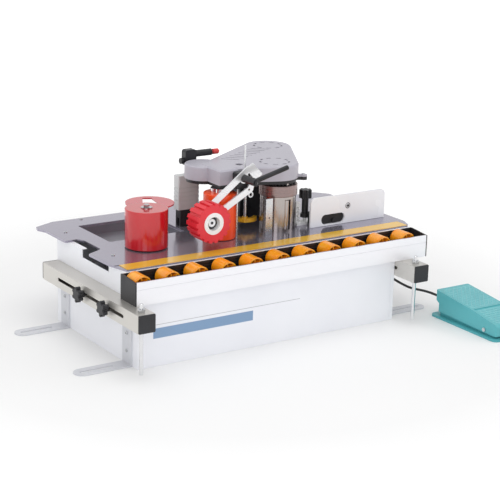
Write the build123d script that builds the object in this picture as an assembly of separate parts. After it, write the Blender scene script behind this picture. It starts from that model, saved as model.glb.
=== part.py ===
from build123d import *
import math
import os

# Bench edge banding machine, in millimetres. +Z is up and the machine stands on Z = 0.
# +X runs along the roller track to the infeed end, and -Y points to the operator.
# The origin is the middle of the underside of the case.
os.makedirs("parts", exist_ok=True)

# ---------------------------------------------------------------- driving dimensions
CASE_W = 696.0            # case width, along X
CASE_D = 380.0            # case depth, along Y
TABLE_TOP = 211.0         # height of the working surface
TABLE_T = 5.0             # table plate thickness
SHEET = 2.0               # sheet metal of the case
RETURN_W = 10.0           # folded edge of the side panels at the front
FLANGE_W = 12.0           # folded top edge that carries the table
STEP_DEPTH = 51.0         # the case steps back this far above the shelf
SLIDE_GAP = 0.3           # gap between sliding faces
RUN_GAP = 0.08            # radial clearance of a running fit
SCREW_GAP = 0.15          # radial clearance of a screw in its hole

TUBE = 40.0               # square support tube
TUBE_WALL = 2.0
TUBE_Z = 110.0            # underside of the support tubes
TUBE_FRONT = 73.0         # tubes reach this far in front of the case
TUBE_LENGTH = 445.0
TUBE_SLOT_W = 8.0
TUBE_SLOT_FRONT = 10.0    # the slot starts this far in front of the case
TUBE_SLOT_LENGTH = 307.0
CLAMP_Y = (60.0, 173.0)   # clamp studs, measured from the front of the case
STUD_R = 3.0

TRACK_OVERHANG_L = 15.5   # roller track past the left and right side of the case
TRACK_OVERHANG_R = 81.5
TRACK_D = 65.0
TRACK_FRONT = 17.0        # track face in front of the case
TRACK_H = 52.0
TRACK_WALL = 3.5
TRACK_REAR_H = 57.0
TRACK_CAP = 3.0
TRACK_RIB = 1.5           # ribs on the inside of the rear wall
ROLLER_COUNT = 11
ROLLER_R = 20.0
ROLLER_L = 42.0
ROLLER_END = 22.5         # first and last roller axis from the inner face of the end cap
ROLLER_END_R = 46.5
AXLE_R = 4.0

LEG_R = 4.5
LEG_BACK = 22.0           # leg axis behind the front end of its tube
LEG_FOOT = 10.0           # leg end above the floor at rest
LEG_TOP = 168.0

FOOT_W = 40.0
FOOT_L = 130.0
FOOT_T = 3.0
FOOT_RISE = 92.0
FOOT_Y = 147.0
FOOT_SLOT_L = 80.0
FOOT_SLOT_R = 4.5
FOOT_SLOT_X = 77.0        # slot centre outside the case
BRACKET_SCREW_Z = (32.0, 72.0)

WORK_OFFSET = 139.0       # the banded edge of the board runs this far behind the case front
TABLE_LEFT_OVER = 12.0
TABLE_RIGHT_OVER = 94.0
TABLE_BACK = 341.0        # table plate reaches this far behind the working plane
HEIGHT_ROD_TOP = 430.0    # tip of the thin rod above the head
STRIP_W = 38.0
STRIP_T = 1.0
TRAY_DEPTH = 22.0         # tray under the tape window

PRESS_X = -221.0
PRESS_R = 49.0
PRESS_H = 88.0
PRESS_AXLE_R = 8.0
FEED_X = -34.0
FEED_R = 38.0
FEED_H = 106.0
FEED_LIFT = 1.0          # roller underside above the table
SPINDLE_R = 10.0
POT_X = 131.0
POT_R = 43.0
POT_H = 84.0
COLLAR_R = 46.0
COLLAR_H = 27.0
POT_WALL = 3.0
GLUE_ROLL_R = 8.0

COVER_TOP = 373.0
COVER_BASE = 338.0
COVER_LOW = 371.5         # top of the round drum behind the feed roller
COVER_WALL = 3.0
BASE_T = 8.0
PULLEY_Z = 341.5          # underside of the lower belt level
PULLEY_H = 10.0           # height of one belt level
BELT_T = 2.0
FEED_PULLEY_R = 7.5
MOTOR_PULLEY_R = 10.0
GLUE_PULLEY_R = 9.5
NECK_R = 6.0              # spindle necks in the head base

HOLD_X = -109.0
HOLD_Z = 275.0
HOLD_R = 45.0
HOLD_L = 44.0
HOLD_PIVOT_X = 0.0
HOLD_PIVOT_Z = 357.0
HOLD_PIN_R = 4.0
HANDLE_HUB_L = 50.0
ARM_T = 4.0

FENCE_L = 222.0
FENCE_H = 72.0
FENCE_T = 5.0
FENCE_X = 198.0

PEDAL_W = 100.0
PEDAL_L = 214.0
PEDAL_BACK_H = 66.0
PEDAL_FRONT_H = 38.0
PEDAL_BASE_H = 5.0
CORD_R = 3.0

# ---------------------------------------------------------------- derived places
HALF_W = CASE_W / 2
HALF_D = CASE_D / 2
CASE_TOP = TABLE_TOP - TABLE_T
FRONT = -HALF_D
STEP_Y = FRONT + STEP_DEPTH
TUBE_TOP = TUBE_Z + TUBE
SHELF_Z = TUBE_TOP - 1.0
TUBE_MID_Z = TUBE_Z + TUBE / 2
TUBE_X = HALF_W + SLIDE_GAP + TUBE / 2
TUBE_Y0 = FRONT - TUBE_FRONT
TUBE_Y1 = TUBE_Y0 + TUBE_LENGTH
SLOT_Y0 = FRONT - TUBE_SLOT_FRONT
SLOT_Y1 = SLOT_Y0 + TUBE_SLOT_LENGTH
TRACK_Y0 = FRONT - TRACK_FRONT
TRACK_Y1 = TRACK_Y0 + TRACK_D
TRACK_X0 = -HALF_W - TRACK_OVERHANG_L
TRACK_X1 = HALF_W + TRACK_OVERHANG_R
ROLLER_X0 = TRACK_X0 + TRACK_CAP + ROLLER_END
ROLLER_X1 = TRACK_X1 - TRACK_CAP - ROLLER_END_R
ROLLER_PITCH = (ROLLER_X1 - ROLLER_X0) / (ROLLER_COUNT - 1)
ROLLER_Z = TABLE_TOP - ROLLER_R
ROLLER_Y = (TRACK_Y0 + TRACK_Y1) / 2
LEG_Y = TUBE_Y0 + LEG_BACK
WORK_Y = FRONT + WORK_OFFSET
TABLE_FRONT = STEP_Y + 2.0
TABLE_BACK_Y = WORK_Y + TABLE_BACK
TABLE_X0 = -HALF_W - TABLE_LEFT_OVER
TABLE_X1 = HALF_W + TABLE_RIGHT_OVER
PRESS_Y = WORK_Y + PRESS_R
FEED_Y = WORK_Y + FEED_R
POT_Y = WORK_Y + POT_R
LOBE_POT = (121.0, WORK_Y + 46.0, 57.0)
LOBE_MOTOR = (207.0, WORK_Y + 202.0, 58.0)
LOBE_LEFT = (10.0, WORK_Y + 99.0, 36.0)
LOBE_CORNER = (4.0, WORK_Y + 37.0, 6.0)
LOBE_DRUM = (-33.5, WORK_Y + 113.0, 44.0)
BLOCK_X = (-47.3, 4.0)
BLOCK_Y = (WORK_Y + 20.0, WORK_Y + 110.0)
MOTOR_X = LOBE_MOTOR[0]
MOTOR_Y = LOBE_MOTOR[1]
GLUE_X = POT_X
GLUE_Y = WORK_Y + GLUE_ROLL_R
WINDOW = (-275.0, -77.0, WORK_Y + 121.0, WORK_Y + 279.0)
HOLD_Y0 = WORK_Y - 57.0
HOLD_Y1 = HOLD_Y0 + HOLD_L
ARM_Y = HOLD_Y1 + 2.5
PEDAL_X = HALF_W + 109.0
PEDAL_Y = FRONT - 30.0
PEDAL_PIVOT_Y = PEDAL_Y - 175.0
PEDAL_PIVOT_Z = 17.0
GLAND_Y = FRONT + 82.0
GLAND_Z = 88.0


# ---------------------------------------------------------------- helpers
def block(x0, x1, y0, y1, z0, z1):
    """A box between two corners."""
    return Pos((x0 + x1) / 2, (y0 + y1) / 2, (z0 + z1) / 2) * Box(x1 - x0, y1 - y0, z1 - z0)


def rod_z(x, y, z0, z1, r):
    """An upright cylinder."""
    return Pos(x, y, (z0 + z1) / 2) * Cylinder(r, z1 - z0)


def rod_y(x, z, y0, y1, r):
    """A cylinder along Y."""
    return Pos(x, (y0 + y1) / 2, z) * Rot(90, 0, 0) * Cylinder(r, y1 - y0)


def rod_x(y, z, x0, x1, r):
    """A cylinder along X."""
    return Pos((x0 + x1) / 2, y, z) * Rot(0, 90, 0) * Cylinder(r, x1 - x0)


def outline(corners, z0, z1):
    """A plate from (x, y, corner radius) triples, in order round the edge."""
    points = [(x, y) for x, y, r in corners]
    radii = [r for x, y, r in corners]
    edge = FilletPolyline(*points, radius=radii, close=True)
    return Pos(0, 0, z0) * extrude(make_face(edge), z1 - z0)


def profile_x(points, x0, x1):
    """A prism along X from (y, z) corners."""
    face = make_face(Polyline(*[(x0, y, z) for y, z in points], close=True))
    return extrude(face, x1 - x0, dir=(1, 0, 0))


def tangent_points(a, b):
    """Outer tangent from circle a to circle b, on the right-hand side of the way from a to b."""
    dx, dy = b[0] - a[0], b[1] - a[1]
    span = math.hypot(dx, dy)
    turn = math.atan2(dy, dx) - math.acos((a[2] - b[2]) / span)
    cx, cy = math.cos(turn), math.sin(turn)
    return (a[0] + a[2] * cx, a[1] + a[2] * cy), (b[0] + b[2] * cx, b[1] + b[2] * cy)


def round_hull(circles, grow=0.0):
    """The face of a band pulled round circles (x, y, r) that are listed counter-clockwise."""
    grown = [(x, y, r + grow) for x, y, r in circles]
    corners = []
    for here, after in zip(grown, grown[1:] + grown[:1]):
        corners.extend(tangent_points(here, after))
    face = make_face(Polyline(*corners, close=True))
    for x, y, r in grown:
        face = face + Pos(x, y) * Circle(r)
    return face


def hexagon_z(x, y, z0, z1, across):
    """A hexagon bar end, upright, with its size across flats."""
    head = extrude(RegularPolygon(across / 2, 6, major_radius=False), z1 - z0)
    return Pos(x, y, z0) * head


def screw(place, head_r=4.0, head_h=2.4, shank_r=2.0, shank_l=6.0):
    """A socket screw whose head stands on the place's origin, towards its +Z."""
    head = Pos(0, 0, head_h / 2) * Cylinder(head_r, head_h)
    shank = Pos(0, 0, -shank_l / 2) * Cylinder(shank_r, shank_l)
    socket = Pos(0, 0, head_h * 0.4) * extrude(RegularPolygon(head_r * 0.5, 6), head_h)
    return place * (head + shank - socket)


def save(name, *solids):
    """Write one node, with each solid kept apart."""
    shape = solids[0] if len(solids) == 1 else Compound(list(solids))
    export_step(shape, f"parts/{name}.step")


def mirrored(shape):
    """The same piece on the other side of the machine."""
    return mirror(shape, about=Plane.YZ)


# ---------------------------------------------------------------- case
BRACKET_SCREW_R = 2.0
TABLE_SCREWS = [
    (TABLE_X0 + 34, WORK_Y + 242),
    (TABLE_X0 + 119, WORK_Y + 329),
    (TABLE_X0 + 40, WORK_Y + 23),
    (TABLE_X1 - 30, WORK_Y + 60),
    (TABLE_X1 - 60, WORK_Y + 200),
]


def make_body_shell():
    """Folded side and back panels, with front returns and a flange for the table."""
    side = [(FRONT, SHEET), (HALF_D, SHEET), (HALF_D, CASE_TOP), (STEP_Y, CASE_TOP),
            (STEP_Y, SHELF_Z), (FRONT, SHELF_Z)]
    body = profile_x(side, -HALF_W, -HALF_W + SHEET) + profile_x(side, HALF_W - SHEET, HALF_W)
    body += block(-HALF_W, HALF_W, HALF_D - SHEET, HALF_D, SHEET, CASE_TOP)
    for x0 in (-HALF_W, HALF_W - RETURN_W):
        body += block(x0, x0 + RETURN_W, FRONT, FRONT + SHEET, SHEET, SHELF_Z)
    rim = block(-HALF_W, HALF_W, STEP_Y + 4, HALF_D, CASE_TOP - SHEET, CASE_TOP)
    rim -= block(-HALF_W + FLANGE_W, HALF_W - FLANGE_W, STEP_Y, HALF_D - FLANGE_W, CASE_TOP - 9, CASE_TOP + 9)
    body += rim
    body -= block(-HALF_W - 1, -HALF_W + FLANGE_W + 1, WORK_Y - 9, WORK_Y + 116, CASE_TOP - 20, CASE_TOP + 1)
    body -= block(WINDOW[0] - 10, WINDOW[1] + 10, HALF_D - FLANGE_W - 1, HALF_D + 1, CASE_TOP - TRAY_DEPTH - 2, CASE_TOP + 1)
    for y in CLAMP_Y:
        body -= rod_x(FRONT + y, TUBE_MID_Z, -HALF_W - 1, HALF_W + 1, STUD_R + RUN_GAP)
    for y in (-FOOT_Y, FOOT_Y):
        for z in BRACKET_SCREW_Z:
            body -= rod_x(y, z, -HALF_W - 1, HALF_W + 1, BRACKET_SCREW_R + SCREW_GAP)
    body -= rod_x(GLAND_Y, GLAND_Z, HALF_W - 9, HALF_W + 1, 6.0 + SCREW_GAP)
    body -= rod_y(HALF_W - 98, 60.0, HALF_D - 9, HALF_D + 1, 6.0 + SCREW_GAP)
    return body


def make_front_panel():
    """Front sheet with a shelf under the roller track and a riser up to the table."""
    gap = SLIDE_GAP
    inner = HALF_W - SHEET - gap
    face = HALF_W - RETURN_W - gap
    panel = block(-face, face, FRONT, FRONT + SHEET, SHEET, SHELF_Z)
    panel += block(-inner, inner, FRONT + SHEET, STEP_Y + SHEET, SHELF_Z - SHEET, SHELF_Z)
    panel += block(-inner, inner, STEP_Y, STEP_Y + SHEET, SHELF_Z - SHEET, CASE_TOP)
    return panel


def make_bottom_plate():
    return block(-HALF_W, HALF_W, FRONT, HALF_D, 0, SHEET)


def make_foot_bracket():
    """An angle bracket on the right side, with a slotted foot and a rounded tip."""
    x0 = HALF_W
    rise = block(x0, x0 + FOOT_T, -FOOT_W / 2, FOOT_W / 2, 0, FOOT_RISE)
    rise = fillet(rise.edges().filter_by(Axis.X).group_by(Axis.Z)[-1], 8)
    foot = block(x0, x0 + FOOT_L - FOOT_W / 2, -FOOT_W / 2, FOOT_W / 2, 0, FOOT_T)
    foot += rod_z(x0 + FOOT_L - FOOT_W / 2, 0, 0, FOOT_T, FOOT_W / 2)
    slot = Pos(x0 + FOOT_SLOT_X, 0, -1) * extrude(SlotOverall(FOOT_SLOT_L, 2 * FOOT_SLOT_R), FOOT_T + 2)
    bracket = rise + foot - slot
    for z in BRACKET_SCREW_Z:
        bracket -= rod_x(0, z, x0 - 1, x0 + FOOT_T + 1, BRACKET_SCREW_R + SCREW_GAP)
    return bracket


def bracket_places():
    """Front right, rear right, and the two mirrored places on the left."""
    right = make_foot_bracket()
    for y in (-FOOT_Y, FOOT_Y):
        yield Pos(0, y, 0) * right
        yield mirrored(Pos(0, y, 0) * right)


def make_screws():
    """Bracket screws, table screws and cover screws."""
    screws = []
    for y in (-FOOT_Y, FOOT_Y):
        for z in BRACKET_SCREW_Z:
            right = screw(Pos(HALF_W + FOOT_T, y, z) * Rot(0, 90, 0))
            screws.append(right)
            screws.append(mirrored(right))
    for x, y in TABLE_SCREWS:
        screws.append(screw(Pos(x, y, TABLE_TOP), 4.0, 1.6, 2.0, TABLE_T - 0.5))
    for x, y in COVER_EARS:
        screws.append(screw(Pos(x, y, COVER_BASE + 4), 3.6, 2.4, 1.8, 7.0))
    return screws


# ---------------------------------------------------------------- table
def table_outline():
    """Corner points of the table plate, counter-clockwise from the front left."""
    left = TABLE_X0
    notch = TABLE_X0 + 40
    back = TABLE_BACK_Y
    w = WORK_Y
    return [
        (left + 14, TABLE_FRONT, 5), (TABLE_X1 - 14, TABLE_FRONT, 6), (TABLE_X1, TABLE_FRONT + 33, 8),
        (TABLE_X1, w + 256, 10), (TABLE_X1 - 27, w + 288, 10), (TABLE_X1 - 112, w + 288, 12),
        (TABLE_X1 - 142, back, 16), (left + 48, back, 12), (left - 6, w + 316, 7),
        (left - 10, w + 300, 5), (left, w + 276, 12), (left, w + 177, 4),
        (notch - 8, w + 177, 5), (notch, w + 160, 9), (notch, w + 80, 9),
        (left - 2, w + 58, 4), (left, w - 30, 10),
    ]


def make_table():
    """The work table: one plate with a window, a lowered band for the edge strip and holes."""
    plate = outline(table_outline(), CASE_TOP, TABLE_TOP)
    x0, x1, y0, y1 = WINDOW
    plate -= outline([(x0, y0, 4), (x1, y0, 4), (x1, y1, 4), (x0, y1, 4)], CASE_TOP - 1, TABLE_TOP + 1)
    plate -= block(TABLE_X0 - 1, TABLE_X1 - 18, TABLE_FRONT - 1, TABLE_FRONT + STRIP_W, TABLE_TOP - STRIP_T, TABLE_TOP + 1)
    for x, y in TABLE_SCREWS:
        plate -= rod_z(x, y, CASE_TOP - 1, TABLE_TOP + 1, 2.0 + SCREW_GAP)
    return plate


def make_edge_strip():
    """A thin wear strip let into the front band of the table."""
    x0 = TABLE_X0 + 16
    x1 = TABLE_X1 - 18 - SLIDE_GAP
    y1 = TABLE_FRONT + STRIP_W - SLIDE_GAP
    return block(x0, x1, TABLE_FRONT, y1, TABLE_TOP - STRIP_T, TABLE_TOP)


def make_reel_tray():
    """A shallow tray hung under the table window, with a drain hole in its floor."""
    x0, x1, y0, y1 = WINDOW
    wall = 1.5
    rim = 8.0
    z0 = CASE_TOP - TRAY_DEPTH
    tray = block(x0 + 1, x1 - 1, y0 + 1, y1 - 1, z0, CASE_TOP)
    tray -= block(x0 + 1 + wall, x1 - 1 - wall, y0 + 1 + wall, y1 - 1 - wall, z0 + wall, CASE_TOP + 1)
    lip = block(x0 - rim, x1 + rim, y0 - rim, y1 + rim, CASE_TOP - wall, CASE_TOP)
    tray += lip - block(x0 + 2, x1 - 2, y0 + 2, y1 - 2, CASE_TOP - 9, CASE_TOP + 1)
    tray -= rod_z(x0 + 42, y0 + 62, z0 - 1, z0 + wall + 1, 8.0)
    return tray


# ---------------------------------------------------------------- support arms and roller track
def make_tube():
    """The right support tube, slotted on both sides for the clamp studs."""
    x, half = TUBE_X, TUBE / 2
    tube = block(x - half, x + half, TUBE_Y0, TUBE_Y1, TUBE_Z, TUBE_TOP)
    inner = half - TUBE_WALL
    tube -= block(x - inner, x + inner, TUBE_Y0 - 1, TUBE_Y1 + 1, TUBE_Z + TUBE_WALL, TUBE_TOP - TUBE_WALL)
    slot = block(x - half - 1, x + half + 1, SLOT_Y0 + TUBE_SLOT_W / 2, SLOT_Y1 - TUBE_SLOT_W / 2,
                 TUBE_MID_Z - TUBE_SLOT_W / 2, TUBE_MID_Z + TUBE_SLOT_W / 2)
    for y in (SLOT_Y0 + TUBE_SLOT_W / 2, SLOT_Y1 - TUBE_SLOT_W / 2):
        slot += rod_x(y, TUBE_MID_Z, x - half - 1, x + half + 1, TUBE_SLOT_W / 2)
    tube -= slot
    tube -= rod_z(x, LEG_Y, TUBE_Z - 1, TUBE_TOP + 1, LEG_R + RUN_GAP)
    return tube


def make_tube_cap(y_open, outward):
    """A push-in cap for one end of the right tube; outward is -1 at the front and 1 at the back."""
    half = TUBE / 2
    plug = half - TUBE_WALL - 0.2
    head = block(TUBE_X - half, TUBE_X + half, -3, 0, TUBE_Z, TUBE_TOP)
    head = fillet(head.edges().filter_by(Axis.Y), 2.5)
    stem = block(TUBE_X - plug, TUBE_X + plug, 0, 10, TUBE_MID_Z - plug, TUBE_MID_Z + plug)
    cap = head + stem
    if outward > 0:
        cap = mirror(cap, about=Plane.XZ)
    return Pos(0, y_open, 0) * cap


def make_track():
    """The roller track: a channel with a ribbed rear wall, along X."""
    z0 = TUBE_TOP
    top = z0 + TRACK_H
    y0, y1, t = TRACK_Y0, TRACK_Y1, TRACK_WALL
    x0, x1 = TRACK_X0 + TRACK_CAP, TRACK_X1 - TRACK_CAP
    channel = block(x0, x1, y0, y1, z0, z0 + t)
    channel += block(x0, x1, y0, y0 + t, z0, top)
    channel += block(x0, x1, y0, y0 + t + 2, top - 2, top)
    channel += block(x0, x1, y1 - t, y1, z0, z0 + TRACK_REAR_H)
    for level in (30.0, 37.0, 44.0, 51.0):
        channel += block(x0, x1, y1 - t - TRACK_RIB, y1 - t, z0 + level, z0 + level + 2.5)
    channel -= block(x0 - 1, x1 + 1, y0 - 1, y0 + 1.0, top - 17.5, top - 16.0)
    return channel


def track_cap_face():
    """The (y, z) outline of an end cap, a little proud of the channel."""
    z0 = TUBE_TOP
    return [(TRACK_Y0, z0), (TRACK_Y1, z0), (TRACK_Y1, z0 + TRACK_REAR_H - 1),
            (TRACK_Y1 - 8, z0 + TRACK_REAR_H), (TRACK_Y0 + 4, z0 + TRACK_H), (TRACK_Y0, z0 + TRACK_H)]


def make_axle(x):
    """A roller axle between the two walls of the track."""
    return rod_y(x, ROLLER_Z, TRACK_Y0 + TRACK_WALL, TRACK_Y1 - TRACK_WALL - TRACK_RIB, AXLE_R)


def make_track_roller(x):
    """A skate-wheel roller: rim, hub and six spokes, with raised edges on the rim."""
    y0 = ROLLER_Y - ROLLER_L / 2
    y1 = ROLLER_Y + ROLLER_L / 2
    rim = rod_y(x, ROLLER_Z, y0, y1, ROLLER_R) - rod_y(x, ROLLER_Z, y0 - 1, y1 + 1, ROLLER_R - 3)
    for y in (y0 + 2.5, y1 - 4.0):
        rim -= rod_y(x, ROLLER_Z, y, y + 1.5, ROLLER_R + 1) - rod_y(x, ROLLER_Z, y - 1, y + 3, ROLLER_R - 0.8)
    hub = rod_y(x, ROLLER_Z, y0, y1, 8.0)
    wheel = rim + hub
    for k in range(6):
        spoke = Rot(0, 60 * k + 15, 0) * Pos(12.5, 0, 0) * Box(11.0, ROLLER_L - 2, 2.0)
        wheel += Pos(x, ROLLER_Y, ROLLER_Z) * spoke
    wheel -= rod_y(x, ROLLER_Z, y0 - 1, y1 + 1, AXLE_R + RUN_GAP)
    return wheel


def make_leg():
    """A threaded leg at the front of the right tube, held in two welded nuts."""
    leg = rod_z(TUBE_X, LEG_Y, LEG_FOOT, LEG_TOP, LEG_R)
    return chamfer(leg.faces().sort_by(Axis.Z)[-1].edges(), 1.0)


def leg_nuts():
    """The nut above and the nut below the right tube."""
    nuts = []
    for z0 in (TUBE_TOP, TUBE_Z - 7):
        nut = hexagon_z(TUBE_X, LEG_Y, z0, z0 + 7, 15)
        nuts.append(nut - rod_z(TUBE_X, LEG_Y, z0 - 1, z0 + 8, LEG_R + RUN_GAP))
    return nuts


def make_clamp_knob(y):
    """A star knob on a stud that passes the right tube into the side of the case."""
    face = TUBE_X + TUBE / 2 + SLIDE_GAP
    star = Circle(13)
    for k in range(6):
        star += Pos(13.5 * math.cos(math.radians(60 * k)), 13.5 * math.sin(math.radians(60 * k))) * Circle(4.6)
    head = extrude(star, 11)
    head = fillet(head.faces().sort_by(Axis.Z)[-1].edges(), 1.5)
    neck = Pos(0, 0, -8) * extrude(Circle(8), 8)
    knob = Pos(face + 8, FRONT + y, TUBE_MID_Z) * Rot(0, 90, 0) * (head + neck)
    return knob + rod_x(FRONT + y, TUBE_MID_Z, HALF_W - 12, face, STUD_R)


# ---------------------------------------------------------------- rollers on the table
GUARD_POST = (-150.0, WORK_Y + 103.0)


def make_press_roller():
    z0 = TABLE_TOP + 2.3
    roller = rod_z(PRESS_X, PRESS_Y, z0, z0 + PRESS_H, PRESS_R)
    roller = fillet(roller.edges().filter_by(GeomType.CIRCLE), 1.5)
    return roller - rod_z(PRESS_X, PRESS_Y, z0 - 1, z0 + PRESS_H + 1, PRESS_AXLE_R + RUN_GAP)


def make_press_axle():
    """A fixed post with a shoulder below and a washer and bolt head on top."""
    z0 = TABLE_TOP + 2.3 + PRESS_H + SLIDE_GAP
    axle = rod_z(PRESS_X, PRESS_Y, TABLE_TOP, z0, PRESS_AXLE_R)
    axle += rod_z(PRESS_X, PRESS_Y, TABLE_TOP, TABLE_TOP + 2, 18)
    axle += rod_z(PRESS_X, PRESS_Y, z0, z0 + 2, 13)
    return axle + hexagon_z(PRESS_X, PRESS_Y, z0 + 2, z0 + 8, 13)


def make_press_guard():
    """A red crescent guard behind the roller, with a notch, on a round post."""
    z0 = TABLE_TOP + 84
    x, y = -183.0, WORK_Y + 101
    guard = rod_z(x, y, z0, z0 + 3, 56) - rod_z(PRESS_X, PRESS_Y, z0 - 1, z0 + 4, PRESS_R + 3)
    guard -= outline([(-205, WORK_Y + 95, 1), (-172, WORK_Y + 75, 1), (-160, WORK_Y + 134, 1),
                      (-178, WORK_Y + 143, 1)], z0 - 1, z0 + 4)
    post = rod_z(*GUARD_POST, TABLE_TOP, z0, 6) + rod_z(*GUARD_POST, TABLE_TOP, TABLE_TOP + 4, 11)
    return guard + post


def make_feed_roller():
    z0 = TABLE_TOP + FEED_LIFT
    roller = rod_z(FEED_X, FEED_Y, z0, z0 + FEED_H, FEED_R)
    roller = fillet(roller.edges().filter_by(GeomType.CIRCLE), 1.5)
    return roller - rod_z(FEED_X, FEED_Y, z0 - 1, z0 + FEED_H + 1, SPINDLE_R)


def pulley(x, y, radius, level):
    """A flanged belt pulley round an upright axis, on belt level 0 or 1."""
    z0 = PULLEY_Z + PULLEY_H * level
    z1 = z0 + PULLEY_H - 0.5
    wheel = rod_z(x, y, z0, z1, radius)
    return wheel + rod_z(x, y, z0, z0 + 1, radius + 1) + rod_z(x, y, z1 - 1, z1, radius + 1)


def make_feed_spindle():
    """The driven spindle, with a collar over the roller and a pulley on its upper end."""
    roller_top = TABLE_TOP + FEED_LIFT + FEED_H
    collar_top = COVER_BASE - BASE_T - 0.5
    spindle = rod_z(FEED_X, FEED_Y, TABLE_TOP + 0.5, roller_top, SPINDLE_R)
    spindle += rod_z(FEED_X, FEED_Y, roller_top, collar_top, 22)
    spindle += rod_z(FEED_X, FEED_Y, collar_top, PULLEY_Z + 1, NECK_R)
    return spindle + pulley(FEED_X, FEED_Y, FEED_PULLEY_R, 0)


# ---------------------------------------------------------------- glue pot
def make_glue_pot():
    """A round pot, open at the top, with a slot at the front where the glue roller shows."""
    z0, z1 = TABLE_TOP, TABLE_TOP + POT_H
    pot = rod_z(POT_X, POT_Y, z0, z1, POT_R) - rod_z(POT_X, POT_Y, z0 + 4, z1 + 1, POT_R - POT_WALL)
    pot -= block(GLUE_X - 8, GLUE_X + 8, WORK_Y - 2, POT_Y - 20, z0 + 5, z1 - 6)
    return pot


def make_glue_collar():
    """The heated collar that stands on the pot."""
    z0 = TABLE_TOP + POT_H
    collar = rod_z(POT_X, POT_Y, z0, z0 + COLLAR_H, COLLAR_R)
    collar = fillet(collar.edges().filter_by(GeomType.CIRCLE), 2)
    return collar - rod_z(POT_X, POT_Y, z0 - 1, z0 + COLLAR_H + 1, POT_R - POT_WALL)


def make_glue_roller():
    """The glue roller and its spindle, with a pulley on the upper end."""
    z0 = TABLE_TOP + 6
    roller = rod_z(GLUE_X, GLUE_Y, z0, z0 + POT_H - 14, GLUE_ROLL_R - SLIDE_GAP)
    collar_top = TABLE_TOP + POT_H + COLLAR_H
    roller += rod_z(GLUE_X, GLUE_Y, TABLE_TOP + 4.5, collar_top + 3, 4)
    roller += rod_z(GLUE_X, GLUE_Y, collar_top + 2, PULLEY_Z + PULLEY_H + 1, NECK_R)
    return roller + pulley(GLUE_X, GLUE_Y, GLUE_PULLEY_R, 1)


def make_wiper_bar():
    """A flat steel bar beside the pot that guides the tape past the glue roller."""
    x0 = POT_X - 61
    bar = block(x0, x0 + 19, WORK_Y + 1, WORK_Y + 4, TABLE_TOP, TABLE_TOP + POT_H + 2)
    return bar - rod_y(x0 + 10, TABLE_TOP + 40, WORK_Y, WORK_Y + 5, 2.2)


# ---------------------------------------------------------------- head
HEAD_CIRCLES = [LOBE_LEFT, LOBE_CORNER, LOBE_POT, LOBE_MOTOR]
HEAD_POSTS = [(10.0, WORK_Y + 111.0), (52.0, WORK_Y + 143.0), (185.0, WORK_Y + 111.0)]
COVER_EARS = [(LOBE_POT[0] + 61, LOBE_POT[1] - 33), (LOBE_MOTOR[0] - 24, LOBE_MOTOR[1] + 61)]


def head_plan(grow=0.0):
    """The cover's outline in plan: four lobes, a round drum and a square block."""
    plan = round_hull(HEAD_CIRCLES, grow)
    plan += Pos(LOBE_DRUM[0], LOBE_DRUM[1]) * Circle(LOBE_DRUM[2] + grow)
    width = BLOCK_X[1] - BLOCK_X[0] + 2 * grow
    depth = BLOCK_Y[1] - BLOCK_Y[0] + 2 * grow
    plan += Pos(sum(BLOCK_X) / 2, sum(BLOCK_Y) / 2) * Rectangle(width, depth)
    return plan


def high_plan(grow=0.0):
    """The part of the plan that is at the full height."""
    plan = round_hull(HEAD_CIRCLES, grow)
    width = BLOCK_X[1] - BLOCK_X[0] + 2 * grow
    depth = BLOCK_Y[1] - BLOCK_Y[0] + 2 * grow
    return plan + Pos(sum(BLOCK_X) / 2, sum(BLOCK_Y) / 2) * Rectangle(width, depth)


def make_head_base():
    """The head's base plate, on four posts, with a bearing hole for each spindle."""
    base = Pos(0, 0, COVER_BASE - BASE_T) * extrude(head_plan(-COVER_WALL - 1), BASE_T)
    for x, y in ((FEED_X, FEED_Y), (GLUE_X, GLUE_Y), (MOTOR_X, MOTOR_Y)):
        base -= rod_z(x, y, COVER_BASE - BASE_T - 1, COVER_BASE + 1, NECK_R + RUN_GAP)
    for x, y in COVER_EARS:
        base += rod_z(x, y, COVER_BASE - BASE_T, COVER_BASE, 9)
        base += arm_to_plate(x, y)
        base -= rod_z(x, y, COVER_BASE - 5, COVER_BASE + 1, 1.8 + SCREW_GAP)
    base += block(BRACKET_X[0], BRACKET_X[1], WORK_Y + 1, WORK_Y + 62, COVER_BASE - BASE_T, COVER_BASE)
    for x, y in HEAD_POSTS:
        base += rod_z(x, y, TABLE_TOP, COVER_BASE - BASE_T, 9)
    return base


def arm_to_plate(x, y):
    """The web that joins an ear to the base plate."""
    centre = min((LOBE_POT, LOBE_MOTOR), key=lambda lobe: math.hypot(x - lobe[0], y - lobe[1]))
    length = math.hypot(x - centre[0], y - centre[1])
    angle = math.degrees(math.atan2(y - centre[1], x - centre[0]))
    web = Pos(length - 13, 0, -BASE_T / 2) * Box(26, 14, BASE_T)
    return Pos(centre[0], centre[1], COVER_BASE) * Rot(0, 0, angle) * web


def vent_ring(x, y, radius, count, z):
    """A ring of short curved vents."""
    cuts = []
    for k in range(count):
        cut = Rot(0, 0, 360 / count * k) * Pos(radius, 0, 0) * Box(5, 13, 12)
        cuts.append(Pos(x, y, z) * fillet(cut.edges().filter_by(Axis.Z), 2.2))
    return cuts


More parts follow.
